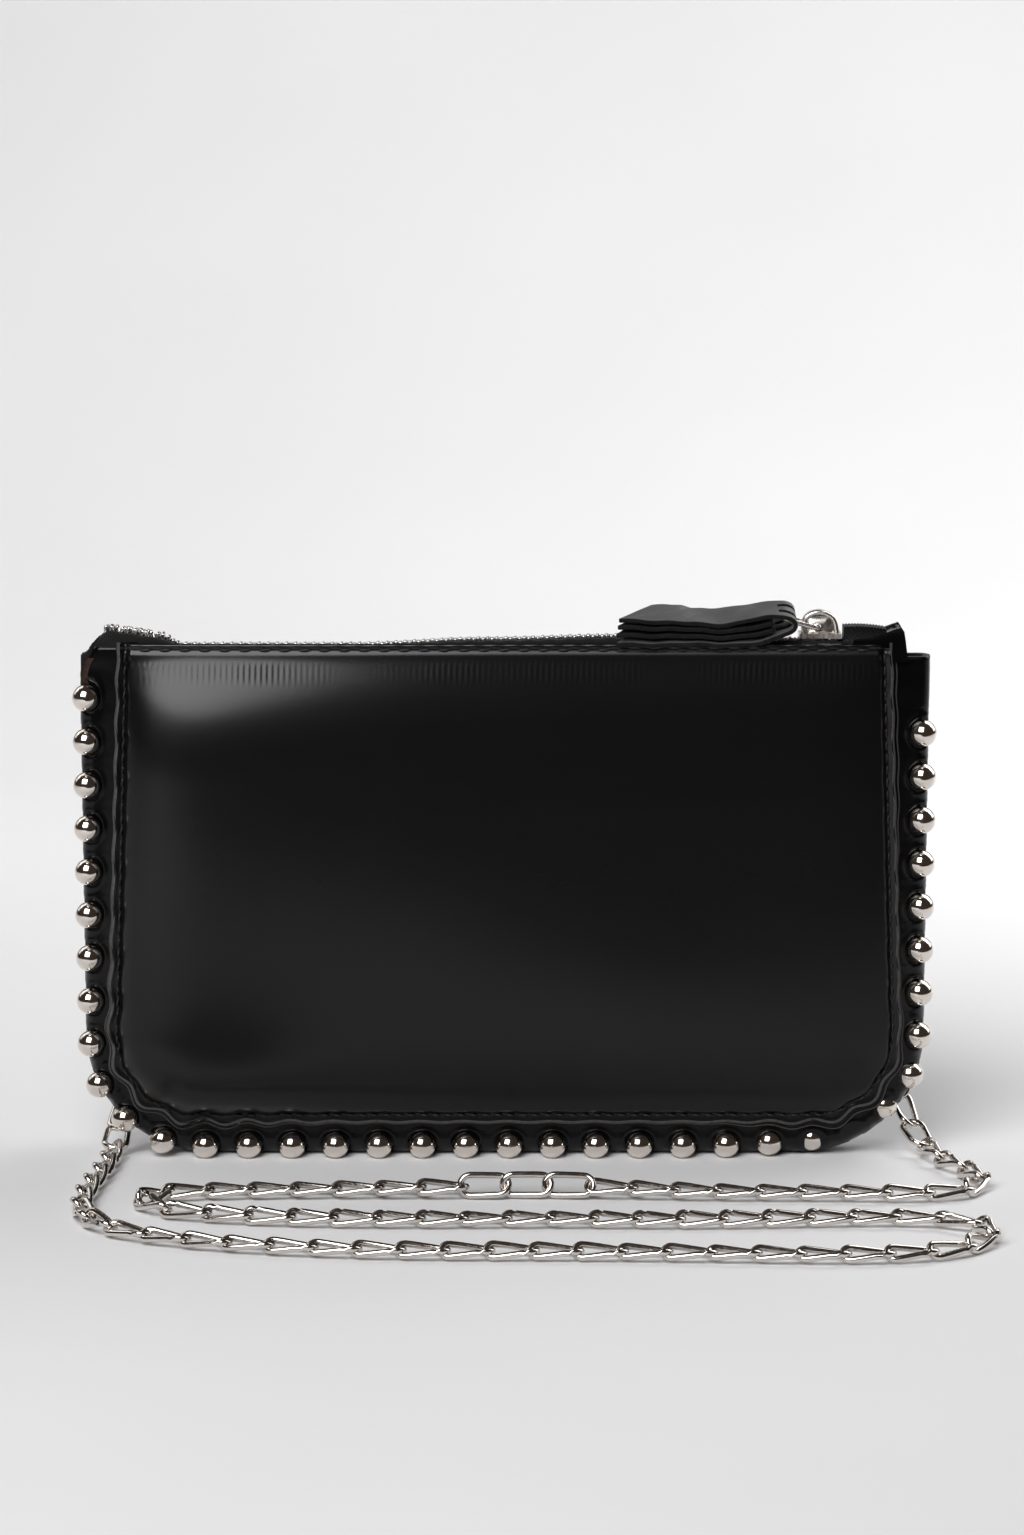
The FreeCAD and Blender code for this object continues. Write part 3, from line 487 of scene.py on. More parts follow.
def line_through(route, name):
    """Points along the smooth line that a route's points control, in the route's own units."""
    curve = bpy.data.curves.new(name, "CURVE")
    curve.dimensions = "3D"
    curve.resolution_u = 24
    spline = curve.splines.new("NURBS")
    spline.points.add(len(route) - 1)
    for point, place in zip(spline.points, route):
        point.co = (*place, 1.0)
    spline.order_u = 3
    spline.use_endpoint_u = True
    helper = bpy.data.objects.new(name, curve)
    SCENE.collection.objects.link(helper)
    mesh = bpy.data.meshes.new_from_object(helper)
    points = np.array([v.co for v in mesh.vertices], float)
    bpy.data.meshes.remove(mesh)
    bpy.data.objects.remove(helper)
    bpy.data.curves.remove(curve)
    return points


def link_shape(wide, first, last):
    """One closed loop of wire from x 0 to the pitch, its plane turning between two angles."""
    half_long = (LINK_PITCH + LINK_WIRE) / 2
    half_wide = (wide - LINK_WIRE) / 2
    straight = half_long - half_wide
    turns = np.linspace(-math.pi / 2, math.pi / 2, 12)
    outline = [(straight + half_wide * math.cos(a), half_wide * math.sin(a)) for a in turns]
    outline += [(straight * run, half_wide) for run in np.linspace(1, -1, 8)[1:-1]]
    outline += [(-x, -across) for x, across in outline]
    path = []
    for x, across in outline:
        share = min(1.0, max(0.0, 0.5 + x / (half_long * 1.6)))
        angle = first + (last - first) * share
        path.append((x + LINK_PITCH / 2, across * math.cos(angle), across * math.sin(angle)))
    return tube(path, LINK_WIRE / 2, 9, closed=True)


def link_angles(place, heading, is_open):
    """Angles of a link's two ends about the chain; its left end stands up in every run."""
    wander = 0.12 * math.sin(place[0] * 0.055 + place[1] * 0.11) + 0.07 * math.sin(place[0] * 0.31)
    standing, lying = LINK_STANDING + wander, LINK_LYING + 0.5 * wander
    if is_open:
        standing, lying = math.radians(72) + wander, math.radians(48) + wander
    share = 0.5 + 0.5 * max(-1.0, min(1.0, heading[0] / 0.45))
    return share * standing - (1 - share) * lying, share * lying - (1 - share) * standing


def make_chain():
    """Links along the route: twisted ones, with a few open ovals in row one and at the corners."""
    line = line_through(CHAIN_ROUTE, "chain_line") / MM
    ends = even_steps(line, lambda long: int(round(long / LINK_PITCH)) + 1)
    links = []
    for index, (start, end) in enumerate(zip(ends, ends[1:])):
        middle, heading = (start + end) / 2, (end - start) / np.linalg.norm(end - start)
        in_row_one = -52 < middle[1] < -42 and middle[2] < 5
        at_corner = middle[1] > -12 and middle[2] > 2.6
        is_open = (in_row_one and -10 < middle[0] < 25) or at_corner
        wide = OPEN_LINK_WIDE if is_open else LINK_WIDE
        first, last = link_angles(middle, heading, is_open)
        if at_corner:
            turned = 0.3 * (index % 2)
            first, last, wide = 0.25 + turned, -0.1 + turned, CORNER_LINK_WIDE
        if not is_open and abs(heading[0]) < 0.75:
            first, last = first + 0.55, last - 0.35
        shape, shape_faces = link_shape(wide, first, last)
        axes = axes_from(heading, (0.0, 0.0, 1.0) if abs(heading[2]) < 0.8 else (0.0, 1.0, 0.0))
        shape = shape @ axes.T + start
        shape[:, 2] += max(0.0, LINK_CLEAR - shape[:, 2].min())
        links.append((shape, shape_faces))
    chain = make_mesh("chain_links", *join(links), [CHAIN_METAL])
    nodes = ("chain_left_fall", "chain_floor_run", "chain_right_fall")
    finish_piece(chain, "wallet", "chain_nickel", *nodes)


make_chain()


# ---- Studs, whose places the gusset shares ----


def u_place(distance, half, corner, base, side):
    """((x, z), outward) at a distance down the left side, round the base and up the right."""
    straight, bend = half - corner, corner * math.pi / 2
    way = distance - (side + bend + straight)
    sign, way = (1.0 if way > 0 else -1.0), abs(way)
    if way <= straight:
        return (sign * way, base), (0.0, -1.0)
    if way <= straight + bend:
        angle = (way - straight) / corner
        out = (sign * math.sin(angle), -math.cos(angle))
        return (sign * straight + out[0] * corner, base + corner + out[1] * corner), out
    return (sign * half, base + corner + way - straight - bend), (sign, 0.0)


def outward_at(x, z):
    """(outward direction in XZ, distance inside the crest line) of a point on the gusset."""
    across, below = abs(x) - CREST_STRAIGHT, CREST_CORNER - z
    sign = math.copysign(1.0, x)
    if across > 0 and below > 0:
        reach = math.hypot(across, below)
        return (sign * across / reach, -below / reach), CREST_CORNER - reach
    if below > 0:
        return (0.0, -1.0), z
    return (sign, 0.0), CREST_HALF - abs(x)


def band_widths(z):
    """(half width, half of the flat crest) of the gusset at a height."""
    share = min(1.0, max(0.0, (z - CREST_CORNER) / CREST_SIDE))
    return [low * (1 - share) + high * share for low, high in (BAND_HALF, CREST_FLAT)]


def stud_places():
    """((x, y, z), normal) of each stud, at even steps along a line just inside the crest."""
    left, right = STUD_START - STUD_LOW - STUD_CORNER, STUD_END - STUD_LOW - STUD_CORNER
    total = left + right + STUD_CORNER * math.pi + 2 * (STUD_SIDE - STUD_CORNER)
    places = []
    for distance in np.linspace(0, total, STUD_COUNT):
        (x, z), _ = u_place(distance, STUD_SIDE, STUD_CORNER, STUD_LOW, left)
        (away_x, away_z), inside = outward_at(x, z)
        half, flat = band_widths(z)
        shoulder = half - flat
        seat = shoulder + STUD_RISE
        cosine = max(-1.0, min(1.0, (shoulder - inside) / seat))
        sine = math.sqrt(1 - cosine * cosine)
        normal = np.array([away_x * cosine, -sine, away_z * cosine])
        places.append((np.array([x, -(flat + seat * sine), z]), normal))
    return places


STUDS = stud_places()


def crest_distance(x, z):
    """Distance along the gusset's crest line from its top left end."""
    across, below = abs(x) - CREST_STRAIGHT, CREST_CORNER - z
    if below <= 0:
        half_way = BAND_TOP - z
    elif across > 0:
        half_way = CREST_SIDE + CREST_CORNER * math.atan2(below, across)
    else:
        half_way = CREST_SIDE + CREST_BEND + CREST_STRAIGHT - abs(x)
    return half_way if x < 0 else CREST_LONG - half_way


STUD_ALONG = np.array([crest_distance(c[0], c[2]) for c, _ in STUDS])
# Those at the lower right are pressed deeper into the leather.
STUD_SUNK = 5.2 * bell(STUD_ALONG - crest_distance(92.0, 4.0), 15.0)


def make_studs():
    """Polished balls, cut off where they sit in the leather."""
    rings, sides = 24, 40
    points = []
    for angle in np.linspace(-math.asin(0.8), math.pi / 2 - 0.02, rings):
        out, high = STUD_SEEN * math.cos(angle), STUD_SEEN * math.sin(angle) + STUD_LIFT
        turns = (2 * math.pi * side / sides for side in range(sides))
        points += [(out * math.cos(turn), out * math.sin(turn), high) for turn in turns]
    low, high = end_caps(len(points), sides)
    faces = grid_faces(rings, sides, closed_columns=True) + [high[::-1], low[::-1]]
    placements = []
    for (centre, normal), sunk in zip(STUDS, STUD_SUNK):
        side = np.cross(normal, [0.3, 0.2, 1.0])
        side /= np.linalg.norm(side)
        axes = np.column_stack([side, np.cross(normal, side), normal])
        placements.append((axes, centre - normal * sunk))
    heads = make_mesh("ball_stud_heads", *repeat(points, faces, placements), [STUD_METAL])
    finish_piece(heads, "wallet", "stud_nickel", "ball_studs")


make_studs()


# ---- Gusset ----


def section_place(along, half, flat):
    """(inside the crest, y, normal) along the section; negative is the front."""
    shoulder = half - flat
    arc = shoulder * math.pi / 2
    side = -1.0 if along < 0 else 1.0
    along = abs(along)
    if along < flat:
        return 0.0, side * along, (1.0, 0.0)
    along -= flat
    if along < arc:
        cosine, sine = math.cos(along / shoulder), math.sin(along / shoulder)
        return shoulder * (1 - cosine), side * (flat + shoulder * sine), (cosine, side * sine)
    return shoulder + along - arc, side * half, (0.0, side)


def make_gusset_band():
    """The gusset's leather, pressed in round each stud and puckered between them."""
    columns = 520
    face, crest, rear = (-1.0, -0.30, 26), (-0.30, 0.30, 12), (0.30, 1.0, 20)
    sections = [np.linspace(*face), np.linspace(*crest)[1:-1], np.linspace(*rear)]
    sections = np.concatenate(sections)
    strength = np.random.default_rng(5).uniform(0.75, 1.2, STUD_COUNT)
    points = []
    for distance in np.linspace(0, CREST_LONG, columns):
        (x, z), (out_x, out_z) = u_place(distance, CREST_HALF, CREST_CORNER, 0.0, CREST_SIDE)
        half, flat = band_widths(z)
        shoulder = half - flat
        reach = flat + shoulder * math.pi / 2 + 7.0
        nearest = int(np.argmin(abs(STUD_ALONG - distance)))
        centre = STUDS[nearest][0]
        off = distance - STUD_ALONG[nearest]
        between = 0.5 - 0.5 * math.cos(2 * math.pi * off / STUD_PITCH)
        near = 1 - smooth_step((abs(off) - 6.0) / 3.0)
        other = min(max(nearest + (1 if off > 0 else -1), 0), STUD_COUNT - 1)
        pinch = (centre + STUDS[other][0]) / 2 - np.array([out_x, 0.9, out_z])
        for share in sections:
            along = share * reach
            inside, y, (n_out, n_y) = section_place(along, half, flat)
            normal = np.array([out_x * n_out, n_y, out_z * n_out])
            point = np.array([x - out_x * inside, y, z - out_z * inside])
            gap = np.linalg.norm(point - centre)
            front = smooth_step((-y - flat * 0.2 + 1.2) / 3.0)
            dimple = -strength[nearest] * (1 - smooth_step(gap - 2.9))
            dimple *= 1 - min(1.0, STUD_SUNK[nearest] * 0.8)
            lip = 0.30 * bell(gap - 4.2, 0.35) * front
            ridge = (0.55 * between - 0.55) * bell(along + flat * 0.6, 3.4) * near
            ridge += 0.8 * strength[nearest] * bell(np.linalg.norm(point - pinch), 1.5) * near
            crease = -0.22 * near * bell(abs(off) - 5.8, 0.35) * front
            crease *= bell(along + flat + shoulder, 3.0)
            back_wave = 0.10 * math.sin(distance * 0.37 + 2.0) * (1 - front)
            point = point + normal * (dimple + lip + ridge + crease + back_wave)
            point[2] = max(point[2], 0.02 + 0.05 * (1 + math.sin(distance * 0.8)))
            point[2] += 2.6 * smooth_step(1 - distance / 12.0)
            point[0] += 3.2 * (1 - smooth_step(distance / 8.0)) ** 2
            points.append(point)
    faces = grid_faces(columns, len(sections))
    # The top left corner's crest is rubbed bare: these rows and columns take the brown edge.
    rows, columns = np.divmod(np.arange(len(faces)), len(sections) - 1)
    bare = 2 * ((2 < rows) & (rows < 9) & (21 < columns) & (columns < 34))
    return make_mesh("gusset_band_leather", points, faces, [LEATHER, EDGE, BROWN_EDGE], bare)


def panel_half(h):
    """Half width of a panel at a height above its base."""
    if h >= PANEL_CORNER:
        return PANEL_HALF_BASE + PANEL_SLOPE * h
    return PANEL_STRAIGHT + math.sqrt(max(0.0, PANEL_CORNER**2 - (PANEL_CORNER - h) ** 2))


def rim_at(x, h):
    """(distance inside the sewn edge, outward direction, distance along that edge)."""
    side = PANEL_HIGH - PANEL_CORNER
    sign = math.copysign(1.0, x)
    if h < PANEL_CORNER and abs(x) > PANEL_STRAIGHT:
        across, below = abs(x) - PANEL_STRAIGHT, PANEL_CORNER - h
        reach = max(1e-6, math.hypot(across, below))
        inside, out = PANEL_CORNER - reach, (sign * across / reach, -below / reach)
        along = side + PANEL_CORNER * math.atan2(below, across)
    else:
        to_side = panel_half(max(h, PANEL_CORNER)) - abs(x)
        if h < to_side:
            inside, out = h, (0.0, -1.0)
            along = side + PANEL_BEND + PANEL_STRAIGHT - min(abs(x), PANEL_STRAIGHT)
        else:
            inside, out = to_side, (sign, 0.0)
            along = PANEL_HIGH - max(h, PANEL_CORNER)
    return inside, out, (along if x < 0 else EDGE_LONG - along)


def on_panel(x, h, depth, side=-1):
    """A point at a depth outwards from a panel's outer face; side -1 is the front."""
    if side > 0:
        h -= 1.9 * smooth_step((8.0 - x) / 40.0) * smooth_step((h - 90.0) / 38.0)
    y = PANEL_Y_BASE - h * math.sin(LEAN) + depth * math.cos(LEAN)
    return np.array([x, side * y, PANEL_BASE_Z + h * math.cos(LEAN) + depth * math.sin(LEAN)])


EDGE_PITCH = 11.55
PADDING, BACK_FULLNESS = 0.75, 0.3
SEAM_INSET, SEAM_PITCH = 2.0, 3.3
TOP_INSET, TOP_PITCH = 1.9, 5.2
TOP_STITCHES = TOP_PITCH * np.arange(-18, 19)


def edge_wave(along, x, h, side):
    """How far the raw edge wanders in its plane, most at the front's bottom corners."""
    x = -x if side > 0 else x
    low_left = bell(x + 92.0, 22.0) * bell(h - 2.0, 22.0)
    low_right = bell(x - 94.0, 16.0) * bell(h - 2.0, 16.0)
    top_left = bell(x + 104.0, 8.0) * bell(h - 120.0, 12.0)
    size = 0.15 + 0.95 * low_left + 0.75 * low_right + 0.12 * top_left
    size *= 1 - smooth_step((h - PANEL_HIGH + 6) / 6)
    return size * math.cos(2 * math.pi * along / EDGE_PITCH + 0.9)


def crown(x, h):
    """The panel's soft fullness, with the slow waves that the leather keeps."""
    top = PANEL_HIGH - h
    share = (1 - smooth_step((x + 100.0) / 130.0)) ** 1.6
    slope, fade = 0.15 + 0.28 * share, 22.0 + 12.0 * share
    way = max(0.0, top - 2.8)
    way = min(1.0, way * way / (way + 2.2) / fade)
    depth = slope * fade * (way - way**3 + way**4 / 2)
    depth += 0.55 * bell(x + 55, 42) * bell(h - 76, 24)
    depth += 0.65 * bell(x - 35, 50) * bell(h - 34, 22)
    depth += 0.25 * math.sin(x * 0.043 + h * 0.031)
    depth += 4.8 * bell(x + 77.0, 19.0) * bell(h + 5.0, 16.0)
    return depth


def relief(x, h, side):
    """Depth of the panel's surface: raised rim, sewn groove and padded middle."""
    inside, (_, out_h), along = rim_at(x, h)
    top = PANEL_HIGH - h
    low = 1 - 0.75 * max(0.0, -out_h)
    side_wall = smooth_step((inside - SEAM_INSET) / 1.3)
    soft = 1 - math.exp(-max(inside - SEAM_INSET, 0.0) / 5.5)
    top_wall = smooth_step((top - TOP_INSET) / 1.2)
    groove = -0.35 * low * bell(inside - SEAM_INSET + 0.3, 0.55)
    groove -= 0.30 * bell(top - TOP_INSET, 0.6)
    flare = 0.22 * low * (1 - smooth_step(inside / 1.2))
    pull = 0.5 + 0.5 * math.cos(2 * math.pi * x / TOP_PITCH)
    roll = -0.55 * (1 - smooth_step(top / 0.8)) - 0.30 * pull * (1 - smooth_step(top / 1.6))
    gather = math.cos(2 * math.pi * along / SEAM_PITCH) * bell(inside - SEAM_INSET - 0.9, 0.5)
    full = BACK_FULLNESS * crown(-x, h) if side > 0 else crown(x, h)
    rise = PADDING * side_wall * (0.7 + 0.3 * top_wall) + full * soft
    return groove + flare + roll + 0.07 * gather + rise


def spaced(limit_low, limit_high, fine_low, fine_high, fine, coarse):
    """Grid lines, close together over the first and last stretch."""
    first = np.arange(limit_low, limit_low + fine_low, fine)
    last = np.arange(limit_high - fine_high, limit_high + 1e-6, fine)
    count = max(2, int(round((last[0] - first[-1]) / coarse)))
    middle = np.linspace(first[-1], last[0], count + 1)[1:-1]
    return np.concatenate([first, middle, last])


def make_panel(word, side):
    rows = spaced(0.0, PANEL_HIGH, 6.0, 6.4, 0.36, 1.3)
    shares = spaced(-1.0, 1.0, 0.058, 0.058, 0.0034, 0.0122)
    points = []
    for h in rows:
        half = panel_half(h)
        for share in shares:
            x = share * half
            inside, (out_x, out_h), along = rim_at(x, h)
            wander = edge_wave(along, x, h, side) * (1 - smooth_step(inside / 5.0))
            depth = relief(x, h, side)
            points.append(on_panel(x + out_x * wander, h + out_h * wander, depth, side))
    faces = grid_faces(len(rows), len(shares), flip=side > 0)
    panel = make_mesh(f"{word}_panel_leather", points, faces, [PANEL_LEATHER, EDGE])
    thicken(panel, PANEL_THICK, rim_slot=1)
    finish_piece(panel, "wallet", "patent_leather", f"{word}_panel")


def edge_line(inset, count, offset=0.0):
    """((x, h), outward, along) at even steps along the sewn edge, inset from it."""
    places = []
    for along in np.linspace(offset, EDGE_LONG - offset, count):
        way = along - EDGE_LONG / 2
        sign, way = (1.0 if way > 0 else -1.0), abs(way)
        if way <= PANEL_STRAIGHT:
            place, out = (sign * way, inset), (0.0, -1.0)
        elif way <= PANEL_STRAIGHT + PANEL_BEND:
            angle, reach = (way - PANEL_STRAIGHT) / PANEL_CORNER, PANEL_CORNER - inset
            out = (sign * math.sin(angle), -math.cos(angle))
            place = (sign * PANEL_STRAIGHT + out[0] * reach, PANEL_CORNER + out[1] * reach)
        else:
            h = max(PANEL_CORNER, PANEL_CORNER + way - PANEL_STRAIGHT - PANEL_BEND)
            place, out = (sign * (panel_half(h) - inset), h), (sign, 0.0)
        places.append((place, out, along))
    return places


def rim_strip(name, side, section, material, beyond=None):
    """A strip along the sewn edge; its section is (outwards, depth) pairs from face to back."""
    columns = edge_line(0.0, 620)
    points = []
    for (x, h), (out_x, out_h), along in columns:
        outwards = edge_wave(along, x, h, side) + (beyond(x, h, side) if beyond else 0.0)
        lift = 0.10 * math.cos(2 * math.pi * along / EDGE_PITCH + 2.1)
        for step, depth in section:
            keep = 1 - smooth_step(-step / 5.0) if step < 0 else 1.0
            shift = outwards * keep + step
            points.append(on_panel(x + out_x * shift, h + out_h * shift, depth + lift * keep, side))
    faces = grid_faces(len(columns), len(section), flip=side > 0)
    return make_mesh(name, points, faces, [material])


def flange_beyond(x, h, side):
    """How far the gusset's own raw edge shows outside the panel's."""
    x = -x if side > 0 else x
    low_left = bell(x + 90.0, 24.0) * bell(h - 3.0, 22.0)
    low_right = bell(x - 92.0, 20.0) * bell(h - 3.0, 18.0)
    high_right = smooth_step((x - 90.0) / 8.0) * smooth_step((h - 55.0) / 40.0)
    return 0.25 + 0.95 * low_left + 1.5 * low_right + 0.25 * bell(h, 3.0) + 0.9 * high_right


def make_rims(word, side):
    """The cut edges of the panel and of the gusset's flange under it."""
    panel_cut = [(-0.35, 0.24), (0.0, 0.24), (0.42, 0.0), (0.52, -0.4), (0.42, -0.85), (-0.5, -1.0)]
    flange_cut = [(0.0, -1.02), (0.35, -1.22), (0.48, -1.6), (0.3, -2.0), (-1.5, -2.1)]
    flange_face = [(-5.0, -1.1), (-3.0, -1.1), (-1.5, -1.08), (-0.5, -1.05), (0.0, -1.02)]
    pieces = (
        (f"{word}_panel_cut_edge", panel_cut, EDGE, None),
        (f"{word}_flange_cut_edge", flange_cut, EDGE, flange_beyond),
        (f"{word}_flange_face", flange_face, LEATHER, flange_beyond),
    )
    for name, section, material, beyond in pieces:
        strip = rim_strip(name, side, section, material, beyond)
        finish_piece(strip, "wallet", "patent_leather")


def make_leather():
    """The gusset, then its rims, then the two panels."""
    band = make_gusset_band()
    thicken(band, BAND_THICK, rim_slot=1)
    finish_piece(band, "wallet", "patent_leather", "gusset_band")
    for make in (make_rims, make_panel):
        for word, side in FACES:
            make(word, side)


make_leather()


# ---- Stitches ----


def stitch_shape(long, radius):
    """A short strand that dips into its holes at both ends."""
    ends = np.linspace(-0.5, 0.5, 7)
    path = [(long * t, 0.0, -radius * 1.3 * abs(2 * t) ** 3) for t in ends]
    return tube(path, [radius * (1 - 0.35 * abs(2 * t) ** 2) for t in ends], 8)


def sew(word, row, shape, placements):
    stitches = make_mesh(f"{word}_{row}_stitches", *repeat(*shape, placements), [THREAD])
    finish_piece(stitches, "wallet", "thread", f"{word}_{row}_thread")


def make_stitches(word, side):
    """The seam round the panel's edge and the longer stitches along its top."""
    up = (0.0, float(side), 0.0)
    columns = edge_line(SEAM_INSET - 0.25, int(EDGE_LONG / SEAM_PITCH), offset=4.2)
    placements = []
    for index, ((x, h), (out_x, out_h), _) in enumerate(columns):
        ahead = columns[min(index + 1, len(columns) - 1)][0]
        behind = columns[max(index - 1, 0)][0]
        here = on_panel(x, h, relief(x, h, side) + 0.18, side)
        forward = on_panel(*ahead, 0.0, side) - on_panel(*behind, 0.0, side)
        slant = on_panel(x + out_x, h + out_h, 0.0, side) - on_panel(x, h, 0.0, side)
        forward = forward / np.linalg.norm(forward) + slant * 0.10
        placements.append((axes_from(forward, up), here))
    sew(word, "seam", stitch_shape(2.35, 0.34), placements)

    h = PANEL_HIGH - TOP_INSET
    axes = axes_from((1.0, 0.0, 0.10), up)
    heights = [relief(x, h, side) + 0.20 for x in TOP_STITCHES]
    placements = [(axes, on_panel(x, h, z, side)) for x, z in zip(TOP_STITCHES, heights)]
    sew(word, "top", stitch_shape(3.7, 0.42), placements)


for face_word, face_side in FACES:
    make_stitches(face_word, face_side)


# ---- Zipper ----

ZIP_LEVEL, TOOTH_PITCH = 137.2, 2.4


def zip_rise(x):
    """The zipper sags over its left half, curls up at its left end and lifts under the pull."""
    sag = -1.4 * smooth_step((-x - 5.0) / 35.0)
    curl = 2.0 * smooth_step((-x - 84.5) / 6.0) + 1.9 * smooth_step((-x - 88.0) / 16.0)
    lift = 0.8 * smooth_step((x + 5.0) / 35.0) * (1 - smooth_step((x - 45.0) / 20.0))
    return sag + curl + lift


def make_tape(word, side):
    """A tape from under the panel's edge to the teeth, with the edge that the teeth clasp."""
    columns = np.concatenate([np.linspace(-111.0, -84.0, 60), np.linspace(-83.0, 90.0, 240)])
    section = [(4.05, -13.0), (4.0, -3.0), (3.75, -0.2), (3.3, 0.75)]
    section += [(2.6, 0.95), (1.9, 0.75), (0.9, 0.55)]
    points = []
    for x in columns:
        rise = zip_rise(x)
        fall = 6.2 * smooth_step((-x - 103.5) / 7.5)
        tuck = smooth_step((-x - 99.0) / 10.0)
        for index, (across, height) in enumerate(section):
            buckle = 0.18 * math.sin(x * 2 * math.pi / 5.2) * bell(index - 3, 1.2)
            lift = height + buckle + (rise - fall if height > -5 else 0.0)
            points.append((x, side * across * (1 - 0.35 * tuck), ZIP_LEVEL + lift))
    faces = grid_faces(len(columns), len(section), flip=side < 0)
    tape = make_mesh(f"zipper_tape_cloth_{word}", points, faces, [TAPE])
    thicken(tape, 0.5)
    finish_piece(tape, "wallet", "zipper_tape", f"zipper_tape_{word}")


def make_teeth(word, side):
    """Clamped metal teeth whose noses interlock."""
    nose, nose_faces = rounded_box(0.95, 2.7, 2.3, 0.26)
    nose = nose + np.array([0.0, side * 0.75, 0.25])
    placements = []
    x = -104.0 + (TOOTH_PITCH / 2 if side > 0 else 0.0)
    while x < 84.4:
        slope = zip_rise(x + 0.5) - zip_rise(x - 0.5)
        fan = 0.22 * smooth_step((-x - 86.0) / 10.0) * side
        loose = float(smooth_step((-x - 85.0) / 6.0))
        slope += 0.45 * loose * math.sin(len(placements) * 2.4)
        axes = axes_from((1.0, fan, float(slope)), (0.0, 0.0, 1.0)) * [1.0, 1.0, 1 + 0.6 * loose]
        placements.append((axes, (x, 0.0, ZIP_LEVEL + float(zip_rise(x)) + 0.1)))
        x += TOOTH_PITCH if x > -90 else TOOTH_PITCH * 0.75
    row = repeat(nose, nose_faces, placements)
    teeth = make_mesh(f"zipper_tooth_row_{word}", *row, [ZIP_METAL])
    finish_piece(teeth, "wallet", "zipper_nickel", f"zipper_teeth_{word}")


for face_word, face_side in FACES:
    make_tape(face_word, face_side)
    make_teeth(face_word, face_side)


# ---- Slider's arch, pull strap and the zipper's ends ----

RING_PIVOT = (82.0, 141.3)
STRAP_HALF, STRAP_THICK, STRAP_ROLL = 7.4, 1.25, math.radians(7.0)
STRAP_STEPS = [0.0, 1.75, 3.9, 4.2, 4.9, 6.0, 7.0, STRAP_HALF]
STRAP_ACROSS = [-y for y in STRAP_STEPS[:0:-1]] + STRAP_STEPS
STRAP_SLOT, SLOT_FROM, STRAP_STEP = (1.75, 3.9), 71.4, 0.9


def extruded(name, outline, half, round_by, material, steps=1):
    """A solid of a width across Y, from an outline in x and z."""
    levels = np.linspace(-half, half, steps + 1)
    points = [(x, y, z) for y in levels for x, z in outline]
    faces = grid_faces(len(levels), len(outline), closed_columns=True)
    piece = make_mesh(name, points, faces + end_caps(len(points), len(outline)), [material])
    if round_by:
        round_edges(piece, round_by, 3)
    return piece


ARCH_ROUTE = [(78.2, 139.6), (78.0, 143.4), (80.6, 145.4)]
ARCH_ROUTE += [(84.0, 145.3), (86.9, 143.2), (86.8, 139.6)]
ARCH_CENTRE = np.array([82.4, 140.5])
ARCH_SECTION = [(-0.5, -1.9), (0.35, -1.9), (0.55, -1.5), (0.55, 1.5), (0.35, 1.9), (-0.5, 1.9)]
CHEEK_SIDES, CHEEK_Y, CHEEK_HALF = 48, 1.45, 0.25
CHEEK_SHARES = (0.0, 0.15, 1.0)


def flat_line(route, name):
    """Points in x and z along the smooth line through a route in x and z."""
    return line_through([(x, 0.0, z) for x, z in route], name)[:, [0, 2]]


def cheek_ring(y, face, share):
    """A ring round a cheek's plate, from the hole at share 0 to the outline at 1."""
    points = []
    for angle in np.linspace(0, 2 * math.pi, CHEEK_SIDES, endpoint=False):
        reach_x, reach_z = math.cos(angle), math.sin(angle)
        far = 4.4 if reach_z > -0.2 else min(4.4, -1.6 / reach_z)
        far = min(far, 3.5 / max(abs(reach_x), 0.01) + 0.6, 3.1 / max(reach_z, 0.01))
        reach = 1.0 + (far - 1.0) * share
        height = y + face * CHEEK_HALF * (0.88 if share == 0.0 else 1.0)
        height += math.copysign(0.5 * (1 - share), y)
        x = RING_PIVOT[0] + reach_x * reach + 0.3 * share
        points.append((x, height, RING_PIVOT[1] + reach_z * reach))
    return points


def make_bail():
    """A bent band over the ring's bar, with cheeks that the bar turns in."""
    arch = flat_line(ARCH_ROUTE, "arch_line")
    outward = arch - ARCH_CENTRE
    outward /= np.linalg.norm(outward, axis=1)[:, None]
    points = [
        (place[0] + out[0] * rise, y, place[1] + out[1] * rise)
        for place, out in zip(arch, outward)
        for rise, y in ARCH_SECTION
    ]
    faces = grid_faces(len(arch), len(ARCH_SECTION), closed_columns=True)
    faces += [cap[::-1] for cap in end_caps(len(points), len(ARCH_SECTION))]
    rings = len(CHEEK_SHARES)
    for y, flip in ((-CHEEK_Y, False), (CHEEK_Y, True)):
        near = len(points)
        far = near + rings * CHEEK_SIDES
        for face in (-1, 1):
            for share in CHEEK_SHARES:
                points += cheek_ring(y, face, share)
        faces += grid_faces(rings, CHEEK_SIDES, closed_columns=True, start=near, flip=flip)
        faces += grid_faces(rings, CHEEK_SIDES, closed_columns=True, start=far, flip=not flip)
        for rim in (0, (rings - 1) * CHEEK_SIDES):
            for index in range(CHEEK_SIDES):
                this, ahead = rim + index, rim + (index + 1) % CHEEK_SIDES
                faces.append([near + this, near + ahead, far + ahead, far + this])
    bail = make_mesh("slider_arch", points, faces, [SLIDER_METAL])
    finish_piece(bail, "slider", "slider_nickel", "slider_bail")


